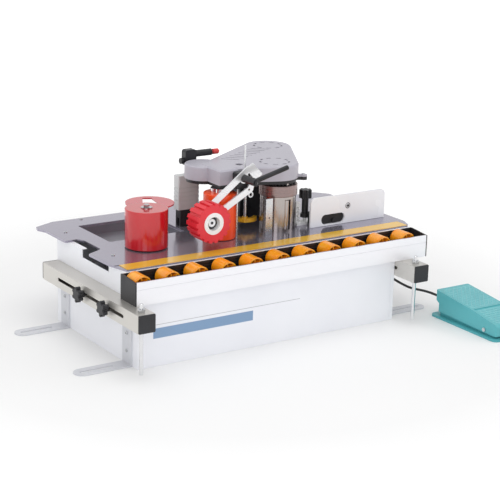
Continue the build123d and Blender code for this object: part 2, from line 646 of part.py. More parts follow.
def make_head_cover():
    """The cast cover over the belt drive: full height block and lobes, and a lower drum."""
    high = Pos(0, 0, COVER_BASE) * extrude(high_plan(), COVER_TOP - COVER_BASE)
    drum = rod_z(LOBE_DRUM[0], LOBE_DRUM[1], COVER_BASE, COVER_LOW, LOBE_DRUM[2])
    high = chamfer(high.faces().sort_by(Axis.Z)[-1].edges(), 3.5)
    drum = fillet(drum.faces().sort_by(Axis.Z)[-1].edges(), 4)
    cover = high + drum
    for x, y in COVER_EARS:
        cover += Pos(0, 0, 4) * rod_z(x, y, COVER_BASE - 4, COVER_BASE, 9)
        cover += Pos(0, 0, 4) * Pos(0, 0, 0) * ear_web(x, y)
    hollow_high = Pos(0, 0, COVER_BASE - 1) * extrude(high_plan(-COVER_WALL), COVER_TOP - COVER_BASE - COVER_WALL + 1)
    hollow_drum = rod_z(LOBE_DRUM[0], LOBE_DRUM[1], COVER_BASE - 1, COVER_LOW - COVER_WALL, LOBE_DRUM[2] - COVER_WALL)
    cover -= hollow_high
    cover -= hollow_drum
    for cut in vent_ring(LOBE_POT[0], LOBE_POT[1], 34, 9, COVER_TOP):
        cover -= cut
    for cut in vent_ring(LOBE_MOTOR[0], LOBE_MOTOR[1], 34, 9, COVER_TOP):
        cover -= cut
    for k in range(8):
        x = 22 + 18 * k
        y = WORK_Y + 112 + 9.2 * k
        slot = Pos(x + 18, y, COVER_TOP) * Rot(0, 0, -41) * Box(44, 4, 12)
        cover -= slot
    cover -= rod_z(29, WORK_Y + 57, COVER_TOP - 9, COVER_TOP + 1, 9)
    for x, y in COVER_EARS:
        cover -= rod_z(x, y, COVER_BASE - 1, COVER_BASE + 5, 1.8 + SCREW_GAP)
    return cover


def ear_web(x, y):
    """The web that joins a cover ear to the skirt."""
    centre = min((LOBE_POT, LOBE_MOTOR), key=lambda lobe: math.hypot(x - lobe[0], y - lobe[1]))
    length = math.hypot(x - centre[0], y - centre[1])
    angle = math.degrees(math.atan2(y - centre[1], x - centre[0]))
    web = Pos(length - 8, 0, -2) * Box(16, 14, 4)
    return Pos(centre[0], centre[1], COVER_BASE) * Rot(0, 0, angle) * web


def make_drive_motor():
    """The gear motor under the motor lobe, with its gear case beside it."""
    top = COVER_BASE - BASE_T
    motor = rod_z(MOTOR_X, MOTOR_Y, TABLE_TOP + 24, top, 50)
    motor += rod_z(MOTOR_X, MOTOR_Y, TABLE_TOP, TABLE_TOP + 24, 42)
    for k in range(20):
        fin = Rot(0, 0, 18 * k) * Pos(50, 0, 0) * Box(6, 2.4, 66)
        motor += Pos(MOTOR_X, MOTOR_Y, TABLE_TOP + 66) * fin
    motor += block(MOTOR_X - 122, MOTOR_X - 20, MOTOR_Y - 68, MOTOR_Y + 20, TABLE_TOP, top - 4)
    return motor - rod_z(MOTOR_X, MOTOR_Y, top - 21, top + 1, NECK_R + RUN_GAP)


def make_motor_pulley():
    """The motor shaft, with one pulley for each belt level."""
    top = COVER_BASE - BASE_T
    shaft = rod_z(MOTOR_X, MOTOR_Y, top - 20, PULLEY_Z + PULLEY_H + 1, NECK_R)
    shaft += pulley(MOTOR_X, MOTOR_Y, MOTOR_PULLEY_R, 0)
    return shaft + pulley(MOTOR_X, MOTOR_Y, MOTOR_PULLEY_R, 1)


def make_belt(x, y, radius, level):
    """A flat belt from the motor to one driven pulley."""
    ends = [(x, y, radius), (MOTOR_X, MOTOR_Y, MOTOR_PULLEY_R)]
    band = round_hull(ends, SLIDE_GAP + BELT_T) - round_hull(ends, SLIDE_GAP)
    return Pos(0, 0, PULLEY_Z + PULLEY_H * level + 1.3) * extrude(band, PULLEY_H - 3.1)


# ---------------------------------------------------------------- hold-down wheel
BRACKET_X = (HOLD_PIVOT_X - 13, HOLD_PIVOT_X + 24)
BRACKET_Y = (WORK_Y + 1, WORK_Y + 18)


def make_hold_bracket():
    """The pivot block in front of the cover, and the shoulder bolt the arm and handle turn on."""
    x, z = HOLD_PIVOT_X, HOLD_PIVOT_Z
    bracket = block(*BRACKET_X, *BRACKET_Y, COVER_BASE, z + 11)
    bracket = fillet(bracket.edges().filter_by(Axis.Y).group_by(Axis.Z)[-1], 4)
    handle_front = ARM_Y - SLIDE_GAP - HANDLE_HUB_L
    bolt = rod_y(x, z, ARM_Y - SLIDE_GAP, BRACKET_Y[0] + 0.5, 6)
    bolt += rod_y(x, z, handle_front - SLIDE_GAP, ARM_Y, HOLD_PIN_R)
    bolt += rod_y(x, z, handle_front - 3, handle_front - SLIDE_GAP, 6)
    bolt -= rod_y(x, z, handle_front - 4, handle_front - 1.2, 2.6)
    return bracket + bolt


def make_height_rod():
    """A thin guide rod with a washer, standing on the pivot block."""
    x, y = HOLD_PIVOT_X + 13, WORK_Y + 8
    z0 = HOLD_PIVOT_Z + 11
    return rod_z(x, y, z0, HEIGHT_ROD_TOP, 2.2) + rod_z(x, y, z0, z0 + 4, 5)


def bar_between(x0, z0, x1, z1, width, y0, thick):
    """A flat bar with round ends in a plane of constant Y."""
    length = math.hypot(x1 - x0, z1 - z0)
    angle = math.degrees(math.atan2(z1 - z0, x1 - x0))
    bar = Rot(90, 0, 0) * extrude(SlotCenterToCenter(length, width), thick)
    return Pos((x0 + x1) / 2, y0 + thick, (z0 + z1) / 2) * Rot(0, -angle, 0) * bar


def plate_y(corners, y0, thick):
    """A flat plate in a plane of constant Y, from (x, z) corners."""
    face = make_face(Polyline(*[(x, y0, z) for x, z in corners], close=True))
    return extrude(face, thick, dir=(0, 1, 0))


def make_hold_arm():
    """Two parallel bars and an end plate, with the wheel's axle at the low end."""
    x, z = HOLD_PIVOT_X, HOLD_PIVOT_Z
    y0, y1 = ARM_Y, ARM_Y + ARM_T
    arm = bar_between(HOLD_X + 8, HOLD_Z + 17, x + 12, z + 20, 15, y0, ARM_T)
    arm += bar_between(HOLD_X + 8, HOLD_Z - 11, x + 18, z - 27, 15, y0, ARM_T)
    arm += plate_y([(x + 4, z + 22), (x + 24, z + 33), (x + 50, z + 5), (x + 30, z - 8)], y0, ARM_T)
    arm += plate_y([(x + 11, z - 22), (x + 24, z - 30), (x + 36, z), (x + 22, z)], y0, ARM_T)
    arm += rod_y(x, z, y0, y1, 12) + rod_y(HOLD_X, HOLD_Z, y0, y1, 24)
    arm -= rod_y(x, z, y0 - 1, y1 + 1, 6 + RUN_GAP)
    arm -= rod_y(x + 14, z - 28, y0 - 1, y1 + 1, 2.5)
    arm += rod_y(HOLD_X, HOLD_Z, HOLD_Y0 + 14, y0, 6)
    return arm + rod_y(HOLD_X, HOLD_Z, HOLD_Y0 + 8, HOLD_Y0 + 14, 9)


def make_hold_wheel():
    """A lugged rubber wheel that rides on top of the board."""
    x, z = HOLD_X, HOLD_Z
    wheel = rod_y(x, z, HOLD_Y0, HOLD_Y1, HOLD_R - 4)
    for k in range(18):
        lug = Rot(0, 20 * k, 0) * Pos(HOLD_R - 4, 0, 0) * Box(8, HOLD_L, 9)
        wheel += Pos(x, (HOLD_Y0 + HOLD_Y1) / 2, z) * lug
    return wheel - rod_y(x, z, HOLD_Y0 - 1, HOLD_Y1 + 1, 22.0)


def make_hold_hub():
    """The white hub bush pressed into the wheel, with a deep recess at the front."""
    x, z = HOLD_X, HOLD_Z
    hub = rod_y(x, z, HOLD_Y0, HOLD_Y1, 22.0)
    hub += rod_y(x, z, HOLD_Y0 - 1, HOLD_Y0, 25.0)
    hub -= rod_y(x, z, HOLD_Y0 - 2, HOLD_Y0 + 14 + SLIDE_GAP, 15.5)
    return hub - rod_y(x, z, HOLD_Y0 - 2, HOLD_Y1 + 1, 6 + RUN_GAP)


def make_hold_handle():
    """The black lever: a long hub on the shoulder bolt and a round bar across it."""
    x, z = HOLD_PIVOT_X, HOLD_PIVOT_Z
    y1 = ARM_Y - SLIDE_GAP
    y0 = y1 - HANDLE_HUB_L
    lever = chamfer(rod_y(x, z, y0, y1, 9).edges().filter_by(GeomType.CIRCLE), 1)
    stem = Rot(0, 90, 0) * Pos(0, 0, 50) * Cylinder(5.6, 92)
    stem = fillet(stem.edges().filter_by(GeomType.CIRCLE), 1.2)
    lever += Pos(x, y0 + 12, z) * Rot(0, -14.5, 0) * stem
    return lever - rod_y(x, z, y0 - 1, y1 + 1, HOLD_PIN_R + RUN_GAP)


# ---------------------------------------------------------------- fence, guides and cutter
SLOT_X0 = FENCE_X + 32
SLOT_X1 = FENCE_X + 101
BOLT_X = FENCE_X + 71
FENCE_SLOT_Z = TABLE_TOP + 16


def make_fence_plate():
    """The infeed fence: a tall plate with a slot near its foot and two rounded top corners."""
    plate = block(FENCE_X, FENCE_X + FENCE_L, WORK_Y, WORK_Y + FENCE_T, TABLE_TOP + 0.5, TABLE_TOP + FENCE_H)
    top = plate.edges().filter_by(Axis.Y).group_by(Axis.Z)[-1]
    plate = fillet(top, 13)
    slot = Rot(90, 0, 0) * extrude(SlotOverall(SLOT_X1 - SLOT_X0, 24), FENCE_T + 2)
    plate -= Pos((SLOT_X0 + SLOT_X1) / 2, WORK_Y + FENCE_T + 1, FENCE_SLOT_Z) * slot
    for x, z in ((FENCE_X + 110, TABLE_TOP + 43),):
        plate -= rod_y(x, z, WORK_Y - 1, WORK_Y + 2, 7.5)
        plate += rod_y(x, z, WORK_Y, WORK_Y + 2.5, 5.2)
    return plate


def make_fence_block():
    """The block behind the fence, with the clamping bolt that passes the fence slot."""
    y0 = WORK_Y + FENCE_T + SLIDE_GAP
    block_part = block(FENCE_X + 10, FENCE_X + 150, y0, y0 + 22, TABLE_TOP, TABLE_TOP + 34)
    block_part = fillet(block_part.edges().filter_by(Axis.Z), 3)
    bolt = rod_y(BOLT_X, FENCE_SLOT_Z - 5, WORK_Y + 0.8, y0 + 1, 5.5)
    return block_part + bolt


GUIDE_X = FENCE_X + 16
GUIDE_Y = WORK_Y + 46


def make_guide_block():
    """The tape guide: a foot, a threaded post and a block with two side pins."""
    x, y, z = GUIDE_X, GUIDE_Y, TABLE_TOP
    guide = block(x - 32, x + 18, y - 14, y + 14, z, z + 6)
    guide += rod_z(x, y, z, z + 52, 4)
    guide += block(x - 31, x - 20, y - 7, y + 7, z + 6, z + 56)
    for level in (14, 24, 34, 44):
        guide += rod_y(x - 25.5, z + level, y - 13, y - 6, 2.5)
    return guide


def make_guide_knob():
    """A black star knob on a long sleeve over the guide post."""
    z0 = TABLE_TOP + 16
    star = Circle(11.5)
    for k in range(7):
        star += Pos(11.5 * math.cos(math.tau * k / 7), 11.5 * math.sin(math.tau * k / 7)) * Circle(3.8)
    knob = Pos(GUIDE_X, GUIDE_Y, z0 + 47) * extrude(star, 21)
    knob = fillet(knob.faces().sort_by(Axis.Z)[-1].edges(), 1.5)
    knob += rod_z(GUIDE_X, GUIDE_Y, z0, z0 + 48, 8) + rod_z(GUIDE_X, GUIDE_Y, z0, z0 + 9, 11)
    return knob - rod_z(GUIDE_X, GUIDE_Y, z0 - 1, z0 + 40, 4 + RUN_GAP)


HOOK = (72.6, WORK_Y + 92.0)        # centre of the half ring
HOOK_OPEN = 56.0                    # the half ring opens this way, degrees from +X
HOOK_ROD = (HOOK[0] - 12.8, HOOK[1] - 19.1)


def make_tape_hook():
    """A yellow half ring that steers the tape, with a boss on the hook rod."""
    z0, z1 = TABLE_TOP + 16, TABLE_TOP + 26
    hook = rod_z(*HOOK, z0, z1, 28) - rod_z(*HOOK, z0 - 1, z1 + 1, 18)
    hook -= Pos(*HOOK, z0) * Rot(0, 0, HOOK_OPEN) * Pos(34, 0, 0) * Box(60, 80, 40)
    hook = fillet(hook.edges().filter_by(Axis.Z), 3)
    hook += rod_z(*HOOK_ROD, z0, z1 + 4, 6.5)
    return hook - rod_z(*HOOK_ROD, z0 - 1, z1 + 5, 3.5)


def make_hook_rods():
    """Steel rods from the head base: one carries the half ring, one has an eye, one guides the tape."""
    base = COVER_BASE - BASE_T
    carrier = rod_z(*HOOK_ROD, TABLE_TOP + 16, base, 3.5)
    eye_x, eye_y, eye_z = 30.0, WORK_Y + 8, 312.0
    eye = rod_y(eye_x, eye_z, eye_y - 2, eye_y + 2, 7) - rod_y(eye_x, eye_z, eye_y - 3, eye_y + 3, 4)
    tape_post = rod_z(8.5, WORK_Y + 30.5, TABLE_TOP, base, 2.6)
    return carrier, eye, tape_post


CUT_X = -45.0
CUT_Y = WORK_Y + 168.0
CUT_Z0 = TABLE_TOP + 41
CUT_Z1 = 334.0
CUT_HALF_W = 28.5
CUT_HALF_D = 12.0
AIR_Z = CUT_Z1 + 48
AIR_END = CUT_X + 66


def make_cutter_body():
    """The tape cutter: a light alloy block with cooling grooves."""
    w, d = CUT_HALF_W, CUT_HALF_D
    body = block(CUT_X - w, CUT_X + w, CUT_Y - d, CUT_Y + d, CUT_Z0, CUT_Z1)
    body = fillet(body.edges().filter_by(Axis.Z), 3)
    for z in (22, 32, 42, 52):
        ring = block(CUT_X - w - 1, CUT_X + w + 1, CUT_Y - d - 1, CUT_Y + d + 1, CUT_Z0 + z, CUT_Z0 + z + 3)
        ring -= block(CUT_X - w + 1.5, CUT_X + w - 1.5, CUT_Y - d + 1.5, CUT_Y + d - 1.5, CUT_Z0, CUT_Z1)
        body -= ring
    return body


def make_cutter_base():
    """The cutter's black foot, open underneath for the tape."""
    base = block(CUT_X - 22, CUT_X + 20, CUT_Y - 11, CUT_Y + 11, TABLE_TOP, CUT_Z0)
    return base - block(CUT_X - 23, CUT_X + 21, CUT_Y - 4, CUT_Y + 4, TABLE_TOP - 1, TABLE_TOP + 20)


def make_cutter_head():
    """The black fittings on top of the cutter: a neck, an elbow, a cap and an air cylinder."""
    x, y = CUT_X + 6, CUT_Y
    elbow = block(x - 15, x + 15, y - 9, y + 9, CUT_Z1 + 22, CUT_Z1 + 60)
    elbow = fillet(elbow.edges().filter_by(Axis.Y), 6)
    head = elbow + rod_z(x, y, CUT_Z1, CUT_Z1 + 24, 8.5)
    head += rod_x(y, CUT_Z1 + 34, x - 24, x - 12, 7)
    head += rod_x(y, AIR_Z, x + 10, AIR_END, 8)
    return head - rod_x(y, AIR_Z, AIR_END - 30, AIR_END + 1, 4 + RUN_GAP)


def make_cutter_button():
    """The red button on the end of the air cylinder."""
    button = rod_x(CUT_Y, AIR_Z, AIR_END - 20, AIR_END + 5, 4)
    button += rod_x(CUT_Y, AIR_Z, AIR_END + 4.8, AIR_END + 22, 6.5)
    return chamfer(button.faces().sort_by(Axis.X)[-1].edges(), 3.0)


# ---------------------------------------------------------------- pedal and cord
def make_pedal_base():
    """The pedal's base plate with a flange, a low body and a cord boot at the back."""
    x0, x1 = PEDAL_X - 9, PEDAL_X + PEDAL_W + 9
    y0, y1 = PEDAL_Y - PEDAL_L - 9, PEDAL_Y + 9
    base = outline([(x0, y0, 14), (x1, y0, 14), (x1, y1, 14), (x0, y1, 14)], 0, PEDAL_BASE_H)
    base += block(PEDAL_X + 5, PEDAL_X + PEDAL_W - 5, PEDAL_Y - 205, PEDAL_Y - 14, PEDAL_BASE_H, 26)
    base -= block(PEDAL_X + 25, PEDAL_X + PEDAL_W - 25, PEDAL_Y - 130, PEDAL_Y - 60, PEDAL_BASE_H + 3, 27)
    middle = PEDAL_X + PEDAL_W / 2
    boot = Rot(90, 0, 0) * Cone(7, 4.5, 14)
    base += block(middle - 9, middle + 9, PEDAL_Y - 14, PEDAL_Y - 8, PEDAL_BASE_H, 33)
    base += Pos(middle, PEDAL_Y - 1, 26) * mirror(boot, about=Plane.XZ)
    base -= rod_x(PEDAL_PIVOT_Y, PEDAL_PIVOT_Z, PEDAL_X, PEDAL_X + PEDAL_W, 2.5)
    return base


def make_pedal_treadle():
    """The foot plate: a hood over the base, hinged near its front end."""
    y = PEDAL_Y
    side = [(y, PEDAL_BACK_H), (y, 42), (y - 10, 36), (y - 10, 15), (y - 200, 9.5), (y - PEDAL_L, 9.5),
            (y - PEDAL_L, PEDAL_FRONT_H - 6), (y - PEDAL_L + 5, PEDAL_FRONT_H), (y - 130, 52)]
    hood = profile_x(side, PEDAL_X, PEDAL_X + PEDAL_W)
    hood = fillet(hood.edges().filter_by(Axis.Z), 4)
    inside = [(y - 13, PEDAL_BACK_H - 5), (y - 13, 0), (y - PEDAL_L + 4, 0), (y - PEDAL_L + 4, PEDAL_FRONT_H - 6),
              (y - 130, 48)]
    hood -= profile_x(inside, PEDAL_X + 3.5, PEDAL_X + PEDAL_W - 3.5)
    middle = PEDAL_X + PEDAL_W / 2
    hood -= block(middle - 12, middle + 12, y - 14, y + 1, 0, 44)
    hood -= rod_x(PEDAL_PIVOT_Y, PEDAL_PIVOT_Z, PEDAL_X - 1, PEDAL_X + PEDAL_W + 1, 2.5 + RUN_GAP)
    hood += block(PEDAL_X + 8, PEDAL_X + PEDAL_W - 8, y - 132, y - 128, 50, 53.5)
    return hood


def make_pedal_pin():
    """The treadle's hinge pin, with a head outside the left wall."""
    pin = rod_x(PEDAL_PIVOT_Y, PEDAL_PIVOT_Z, PEDAL_X - 0.5, PEDAL_X + PEDAL_W + 0.5, 2.5)
    return pin + rod_x(PEDAL_PIVOT_Y, PEDAL_PIVOT_Z, PEDAL_X - 2.5, PEDAL_X - 0.5, 5)


def make_pedal_spring():
    """The return spring under the treadle, as its outer shape."""
    x, y = PEDAL_X + PEDAL_W / 2, PEDAL_Y - 40
    return rod_z(x, y, 26, 57, 7) - rod_z(x, y, 25, 58, 5)


def make_gland(place):
    """A cable gland with its neck through the wall; the place's +Z points outwards."""
    body = extrude(RegularPolygon(9, 6, major_radius=False), 5)
    body += Pos(0, 0, 5) * extrude(Circle(8), 7)
    body += Pos(0, 0, 18) * Cone(7, 4.5, 12)
    body += Pos(0, 0, -6) * extrude(Circle(6), 6)
    return place * (body - Pos(0, 0, -7) * extrude(Circle(CORD_R + 0.1), 20))


CORD_POINTS = [
    (373.0, -108.0, 88.0),
    (388.0, -109.0, 84.0),
    (403.0, -116.0, 75.0),
    (418.0, -131.0, 63.5),
    (435.0, -144.0, 53.5),
    (454.0, -151.0, 47.6),
    (471.0, -154.5, 43.0),
    (487.5, -163.5, 37.5),
    (499.6, -178.1, 32.0),
    (506.1, -196.0, 28.0),
    (507.0, -213.5, 26.0),
]


def cord_radii(points):
    """The arc at each inner point: 0.45 of the shorter run over the tangent of half the turn."""
    radii = []
    for before, here, after in zip(points, points[1:], points[2:]):
        run_in = Vector(*here) - Vector(*before)
        run_out = Vector(*after) - Vector(*here)
        turn = math.radians(run_in.get_angle(run_out))
        shorter = min(run_in.length, run_out.length)
        radii.append(0.45 * shorter / math.tan(turn / 2))
    return radii


def make_pedal_cord():
    """The pedal's cord, from the gland on the case to the boot on the pedal."""
    radii = cord_radii(CORD_POINTS)
    print("cord radii", [round(r, 1) for r in radii])
    path = FilletPolyline(*CORD_POINTS, radius=radii)
    start = Plane(origin=path @ 0, z_dir=path % 0)
    cord = sweep(start * Circle(CORD_R), path=path)
    section = math.pi * CORD_R ** 2
    print("cord length", round(path.length, 1), "volume ratio", round(cord.volume / (section * path.length), 4))
    return cord


# ---------------------------------------------------------------- write the nodes
def write_nodes():
    save("body_shell", make_body_shell())
    save("front_panel", make_front_panel())
    save("bottom_plate", make_bottom_plate())
    save("foot_brackets", *bracket_places())
    save("steel_fasteners", *make_screws(), make_pedal_pin())
    save("table_plate", make_table())
    save("table_edge_strip", make_edge_strip())
    save("reel_tray", make_reel_tray())

    tube = make_tube()
    save("arm_tubes", tube, mirrored(tube))
    caps = [make_tube_cap(TUBE_Y0, -1), make_tube_cap(TUBE_Y1, 1)]
    track_caps = [profile_x(track_cap_face(), TRACK_X0, TRACK_X0 + TRACK_CAP),
                  profile_x(track_cap_face(), TRACK_X1 - TRACK_CAP, TRACK_X1)]
    save("end_caps", *caps, *[mirrored(cap) for cap in caps], *track_caps)
    save("roller_track", make_track())
    roller_places = [ROLLER_X0 + ROLLER_PITCH * k for k in range(ROLLER_COUNT)]
    nuts = leg_nuts()
    axles = [make_axle(x) for x in roller_places]
    save("track_steelwork", *axles, *nuts, *[mirrored(nut) for nut in nuts])
    for number, x in enumerate(roller_places, 1):
        save(f"track_roller_{number:02d}", make_track_roller(x))
    leg = make_leg()
    save("leg_right", leg)
    save("leg_left", mirrored(leg))
    for word, y in zip(("front", "rear"), CLAMP_Y):
        knob = make_clamp_knob(y)
        save(f"clamp_knob_right_{word}", knob)
        save(f"clamp_knob_left_{word}", mirrored(knob))

    save("press_roller", make_press_roller())
    save("press_guard", make_press_guard())
    save("feed_roller", make_feed_roller())
    save("feed_spindle", make_feed_spindle())
    save("glue_pot", make_glue_pot())
    save("glue_collar", make_glue_collar())
    save("glue_roller", make_glue_roller())
    save("head_base", make_head_base())
    save("head_cover", make_head_cover())
    save("drive_motor", make_drive_motor())
    save("motor_pulley", make_motor_pulley())
    feed_belt = make_belt(FEED_X, FEED_Y, FEED_PULLEY_R, 0)
    save("drive_belts", feed_belt, make_belt(GLUE_X, GLUE_Y, GLUE_PULLEY_R, 1))
    save("hold_bracket", make_hold_bracket())
    save("hold_arm", make_hold_arm())
    save("hold_wheel", make_hold_wheel())
    save("hold_hub", make_hold_hub())
    save("hold_handle", make_hold_handle())
    save("steel_posts", make_press_axle(), make_wiper_bar(), make_height_rod(), *make_hook_rods())
    save("fence_plate", make_fence_plate())
    save("fence_block", make_fence_block())
    save("guide_block", make_guide_block())
    save("guide_knob", make_guide_knob())
    save("tape_hook", make_tape_hook())
    save("cutter_body", make_cutter_body())
    save("cutter_fittings", make_cutter_base(), make_cutter_head())
    save("cutter_button", make_cutter_button())
    save("pedal_base", make_pedal_base())
    save("pedal_treadle", make_pedal_treadle())
    save("pedal_spring", make_pedal_spring())
    save("pedal_cord", make_pedal_cord())
    pedal_gland = make_gland(Pos(HALF_W, GLAND_Y, GLAND_Z) * Rot(0, 90, 0))
    mains_gland = make_gland(Pos(HALF_W - 98, HALF_D, 60) * Rot(-90, 0, 0))
    save("cable_glands", pedal_gland, mains_gland)


write_nodes()
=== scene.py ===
# %% [markdown]
# # A bench edge banding machine
# This lesson dresses a packed machine model. The solid parts, their sizes and their joints are
# already there, so the work here is finishes, small soft or fine details, light and a camera.
# Everything is in metres. +Z is up, +X runs along the roller track, and -Y is the operator's side.

# %% Load the machine
import bpy
import bmesh
import math
from mathutils import Matrix, Vector


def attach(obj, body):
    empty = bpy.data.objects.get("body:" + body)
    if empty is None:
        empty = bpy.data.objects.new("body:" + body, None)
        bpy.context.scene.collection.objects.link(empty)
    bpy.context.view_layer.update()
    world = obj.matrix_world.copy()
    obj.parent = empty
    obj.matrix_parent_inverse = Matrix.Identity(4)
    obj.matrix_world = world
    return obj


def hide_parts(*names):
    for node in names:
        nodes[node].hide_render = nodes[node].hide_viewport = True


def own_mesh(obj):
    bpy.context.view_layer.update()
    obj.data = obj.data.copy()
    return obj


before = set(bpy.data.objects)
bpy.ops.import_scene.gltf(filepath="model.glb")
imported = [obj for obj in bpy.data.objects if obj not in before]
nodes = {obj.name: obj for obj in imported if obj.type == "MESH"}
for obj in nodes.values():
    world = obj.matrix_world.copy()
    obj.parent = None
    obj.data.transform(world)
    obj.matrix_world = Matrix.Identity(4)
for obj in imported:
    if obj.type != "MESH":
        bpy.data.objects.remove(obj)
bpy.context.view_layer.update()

# %% [markdown]
# ## The camera
# A product picture is usually taken with a long lens from a little above. A long lens keeps the
# far end of the table nearly as large as the near end. The camera could be aimed with a tracking
# constraint, but a matrix built from three directions is exact and easy to read: backward, right
# and up. A small roll is then added, because a hand-held frame is seldom level.

# %% Aim the camera
AIM = Vector((-0.17007, -0.34571, 0.28355))
DISTANCE = 3.11817
AZIMUTH = math.radians(-33.85)
ELEVATION = math.radians(16.10)
ROLL = math.radians(1.48)
LENS_MM = 108.19
SENSOR_MM = 36.0


def make_camera():
    back = Vector((
        math.sin(AZIMUTH) * math.cos(ELEVATION), -math.cos(AZIMUTH) * math.cos(ELEVATION),
        math.sin(ELEVATION)))
    right = Vector((0, 0, 1)).cross(back).normalized()
    up = back.cross(right)
    turn = Matrix((right, up, back)).transposed().to_4x4() @ Matrix.Rotation(ROLL, 4, "Z")
    lens = bpy.data.cameras.new("product_camera")
    lens.lens = LENS_MM
    lens.sensor_width = SENSOR_MM
    lens.clip_end = 60.0
    camera = bpy.data.objects.new("product_camera", lens)
    camera.matrix_world = Matrix.Translation(AIM + back * DISTANCE) @ turn
    bpy.context.collection.objects.link(camera)
    bpy.context.scene.camera = camera
    return camera


camera = make_camera()
print("camera stands at", [round(v, 3) for v in camera.matrix_world.translation])

# %% [markdown]
# ## The pedal's cord
# The cord is a flexible round lead. It could be a mesh tube or a curve. A curve is best, because
# the line stays smooth at any size and its thickness is one number. A NURBS spline passes inside
# its control points and has no kinks, which is how a soft lead bends. The thickness is given to
# the points, with a bevel of 1, because Blender sizes a curve's box from its points' radius.

# %% Lay the cord
CORD_RADIUS = 0.003
CORD_POINTS = [
    (0.3730, -0.1080, 0.0880), (0.3880, -0.1090, 0.0840), (0.4030, -0.1160, 0.0750), (
        0.4180, -0.1310, 0.0635),
    (0.4350, -0.1440, 0.0535), (0.4540, -0.1510, 0.0476), (0.4710, -0.1545, 0.0430), (
        0.4875, -0.1635, 0.0375),
    (0.4996, -0.1781, 0.0320), (0.5061, -0.1960, 0.0280), (0.5070, -0.2135, 0.0260),
]


def make_cord(name, points, radius):
    line = bpy.data.curves.new(name, "CURVE")
    line.dimensions = "3D"
    line.bevel_depth = 1.0
    line.bevel_resolution = 6
    line.resolution_u = 12
    line.use_fill_caps = True
    spline = line.splines.new("NURBS")
    spline.points.add(len(points) - 1)
    for point, place in zip(spline.points, points):
        point.co = (*place, 1.0)
        point.radius = radius
    spline.order_u = 3
    spline.use_endpoint_u = True
    cord = bpy.data.objects.new(name, line)
    bpy.context.collection.objects.link(cord)
    return cord


pedal_lead = make_cord("pedal_lead", CORD_POINTS, CORD_RADIUS)
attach(pedal_lead, "case")
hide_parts("pedal_cord")
print("cord laid through", len(CORD_POINTS), "points")

# %% [markdown]
# ## Shared surface effects
# Every real finish changes a little from place to place: paint is thicker here, a hand has rubbed
# there. One node group gives two such masks: wide soft patches and a fine grain. It could be
# copied into each material by hand, but a group is built once and then fed different numbers.

# %% Build the uneven surface group
def new_group(name, inputs, outputs):
    group = bpy.data.node_groups.new(name, "ShaderNodeTree")
    for label, kind, value in inputs:
        socket = group.interface.new_socket(label, in_out="INPUT", socket_type=kind)
        if value is not None:
            socket.default_value = value
    for label, kind in outputs:
        group.interface.new_socket(label, in_out="OUTPUT", socket_type=kind)
    return group, group.nodes.new("NodeGroupInput"), group.nodes.new("NodeGroupOutput")


def uneven_surface_group():
    group, start, end = new_group(
        "uneven_surface",
        [
            ("Vector", "NodeSocketVector", None), ("Patch Scale", "NodeSocketFloat", 12.0),
            ("Grain Scale", "NodeSocketFloat", 900.0)],
        [("Patches", "NodeSocketFloat"), ("Grain", "NodeSocketFloat")])
    for label, output, detail in (("Patch Scale", "Patches", 3.0), ("Grain Scale", "Grain", 2.0)):
        noise = group.nodes.new("ShaderNodeTexNoise")
        noise.inputs["Detail"].default_value = detail
        group.links.new(start.outputs["Vector"], noise.inputs["Vector"])
        group.links.new(start.outputs[label], noise.inputs["Scale"])
        ramp = group.nodes.new("ShaderNodeMapRange")
        ramp.inputs["From Min"].default_value = 0.3
        ramp.inputs["From Max"].default_value = 0.7
        group.links.new(noise.outputs["Fac"], ramp.inputs["Value"])
        group.links.new(ramp.outputs["Result"], end.inputs[output])
    return group


UNEVEN = uneven_surface_group()
print("group", UNEVEN.name, "is ready")

# %% [markdown]
# A second group makes fine scratches. Rubbed metal and worn plastic are covered in thin lines
# that run all ways. A stretched noise gives lines along one axis, and two of them at an angle
# give the crossed look without any picture file.

# %% Build the scratch group
def scratch_group():
    group, start, end = new_group(
        "fine_scratches",
        [("Vector", "NodeSocketVector", None), ("Scale", "NodeSocketFloat", 60.0)],
        [("Lines", "NodeSocketFloat")])
    found = []
    for turn in (0.4, 2.2):
        spin = group.nodes.new("ShaderNodeVectorRotate")
        spin.rotation_type = "EULER_XYZ"
        spin.inputs["Rotation"].default_value = (turn, turn * 0.7, turn * 1.3)
        stretch = group.nodes.new("ShaderNodeVectorMath")
        stretch.operation = "MULTIPLY"
        stretch.inputs[1].default_value = (1.0, 22.0, 22.0)
        noise = group.nodes.new("ShaderNodeTexNoise")
        noise.inputs["Detail"].default_value = 1.0
        group.links.new(start.outputs["Vector"], spin.inputs["Vector"])
        group.links.new(spin.outputs["Vector"], stretch.inputs[0])
        group.links.new(stretch.outputs["Vector"], noise.inputs["Vector"])
        group.links.new(start.outputs["Scale"], noise.inputs["Scale"])
        cut = group.nodes.new("ShaderNodeMapRange")
        cut.inputs["From Min"].default_value = 0.62
        cut.inputs["From Max"].default_value = 0.72
        group.links.new(noise.outputs["Fac"], cut.inputs["Value"])
        found.append(cut)
    both = group.nodes.new("ShaderNodeMath")
    both.operation = "MAXIMUM"
    group.links.new(found[0].outputs["Result"], both.inputs[0])
    group.links.new(found[1].outputs["Result"], both.inputs[1])
    group.links.new(both.outputs["Value"], end.inputs["Lines"])
    return group


SCRATCHES = scratch_group()
print("group", SCRATCHES.name, "is ready")

# %% [markdown]
# ## A recipe for finishes
# Paint, anodising, rubber and turned steel differ in a few numbers: two close colours, a range of
# roughness, how deep and how fine the grain is, and which way it is drawn out. One function
# builds the nodes from those numbers. The grain's stretch is what tells brushed metal, with
# lines along one axis, from cast or moulded skin, which is the same all ways.

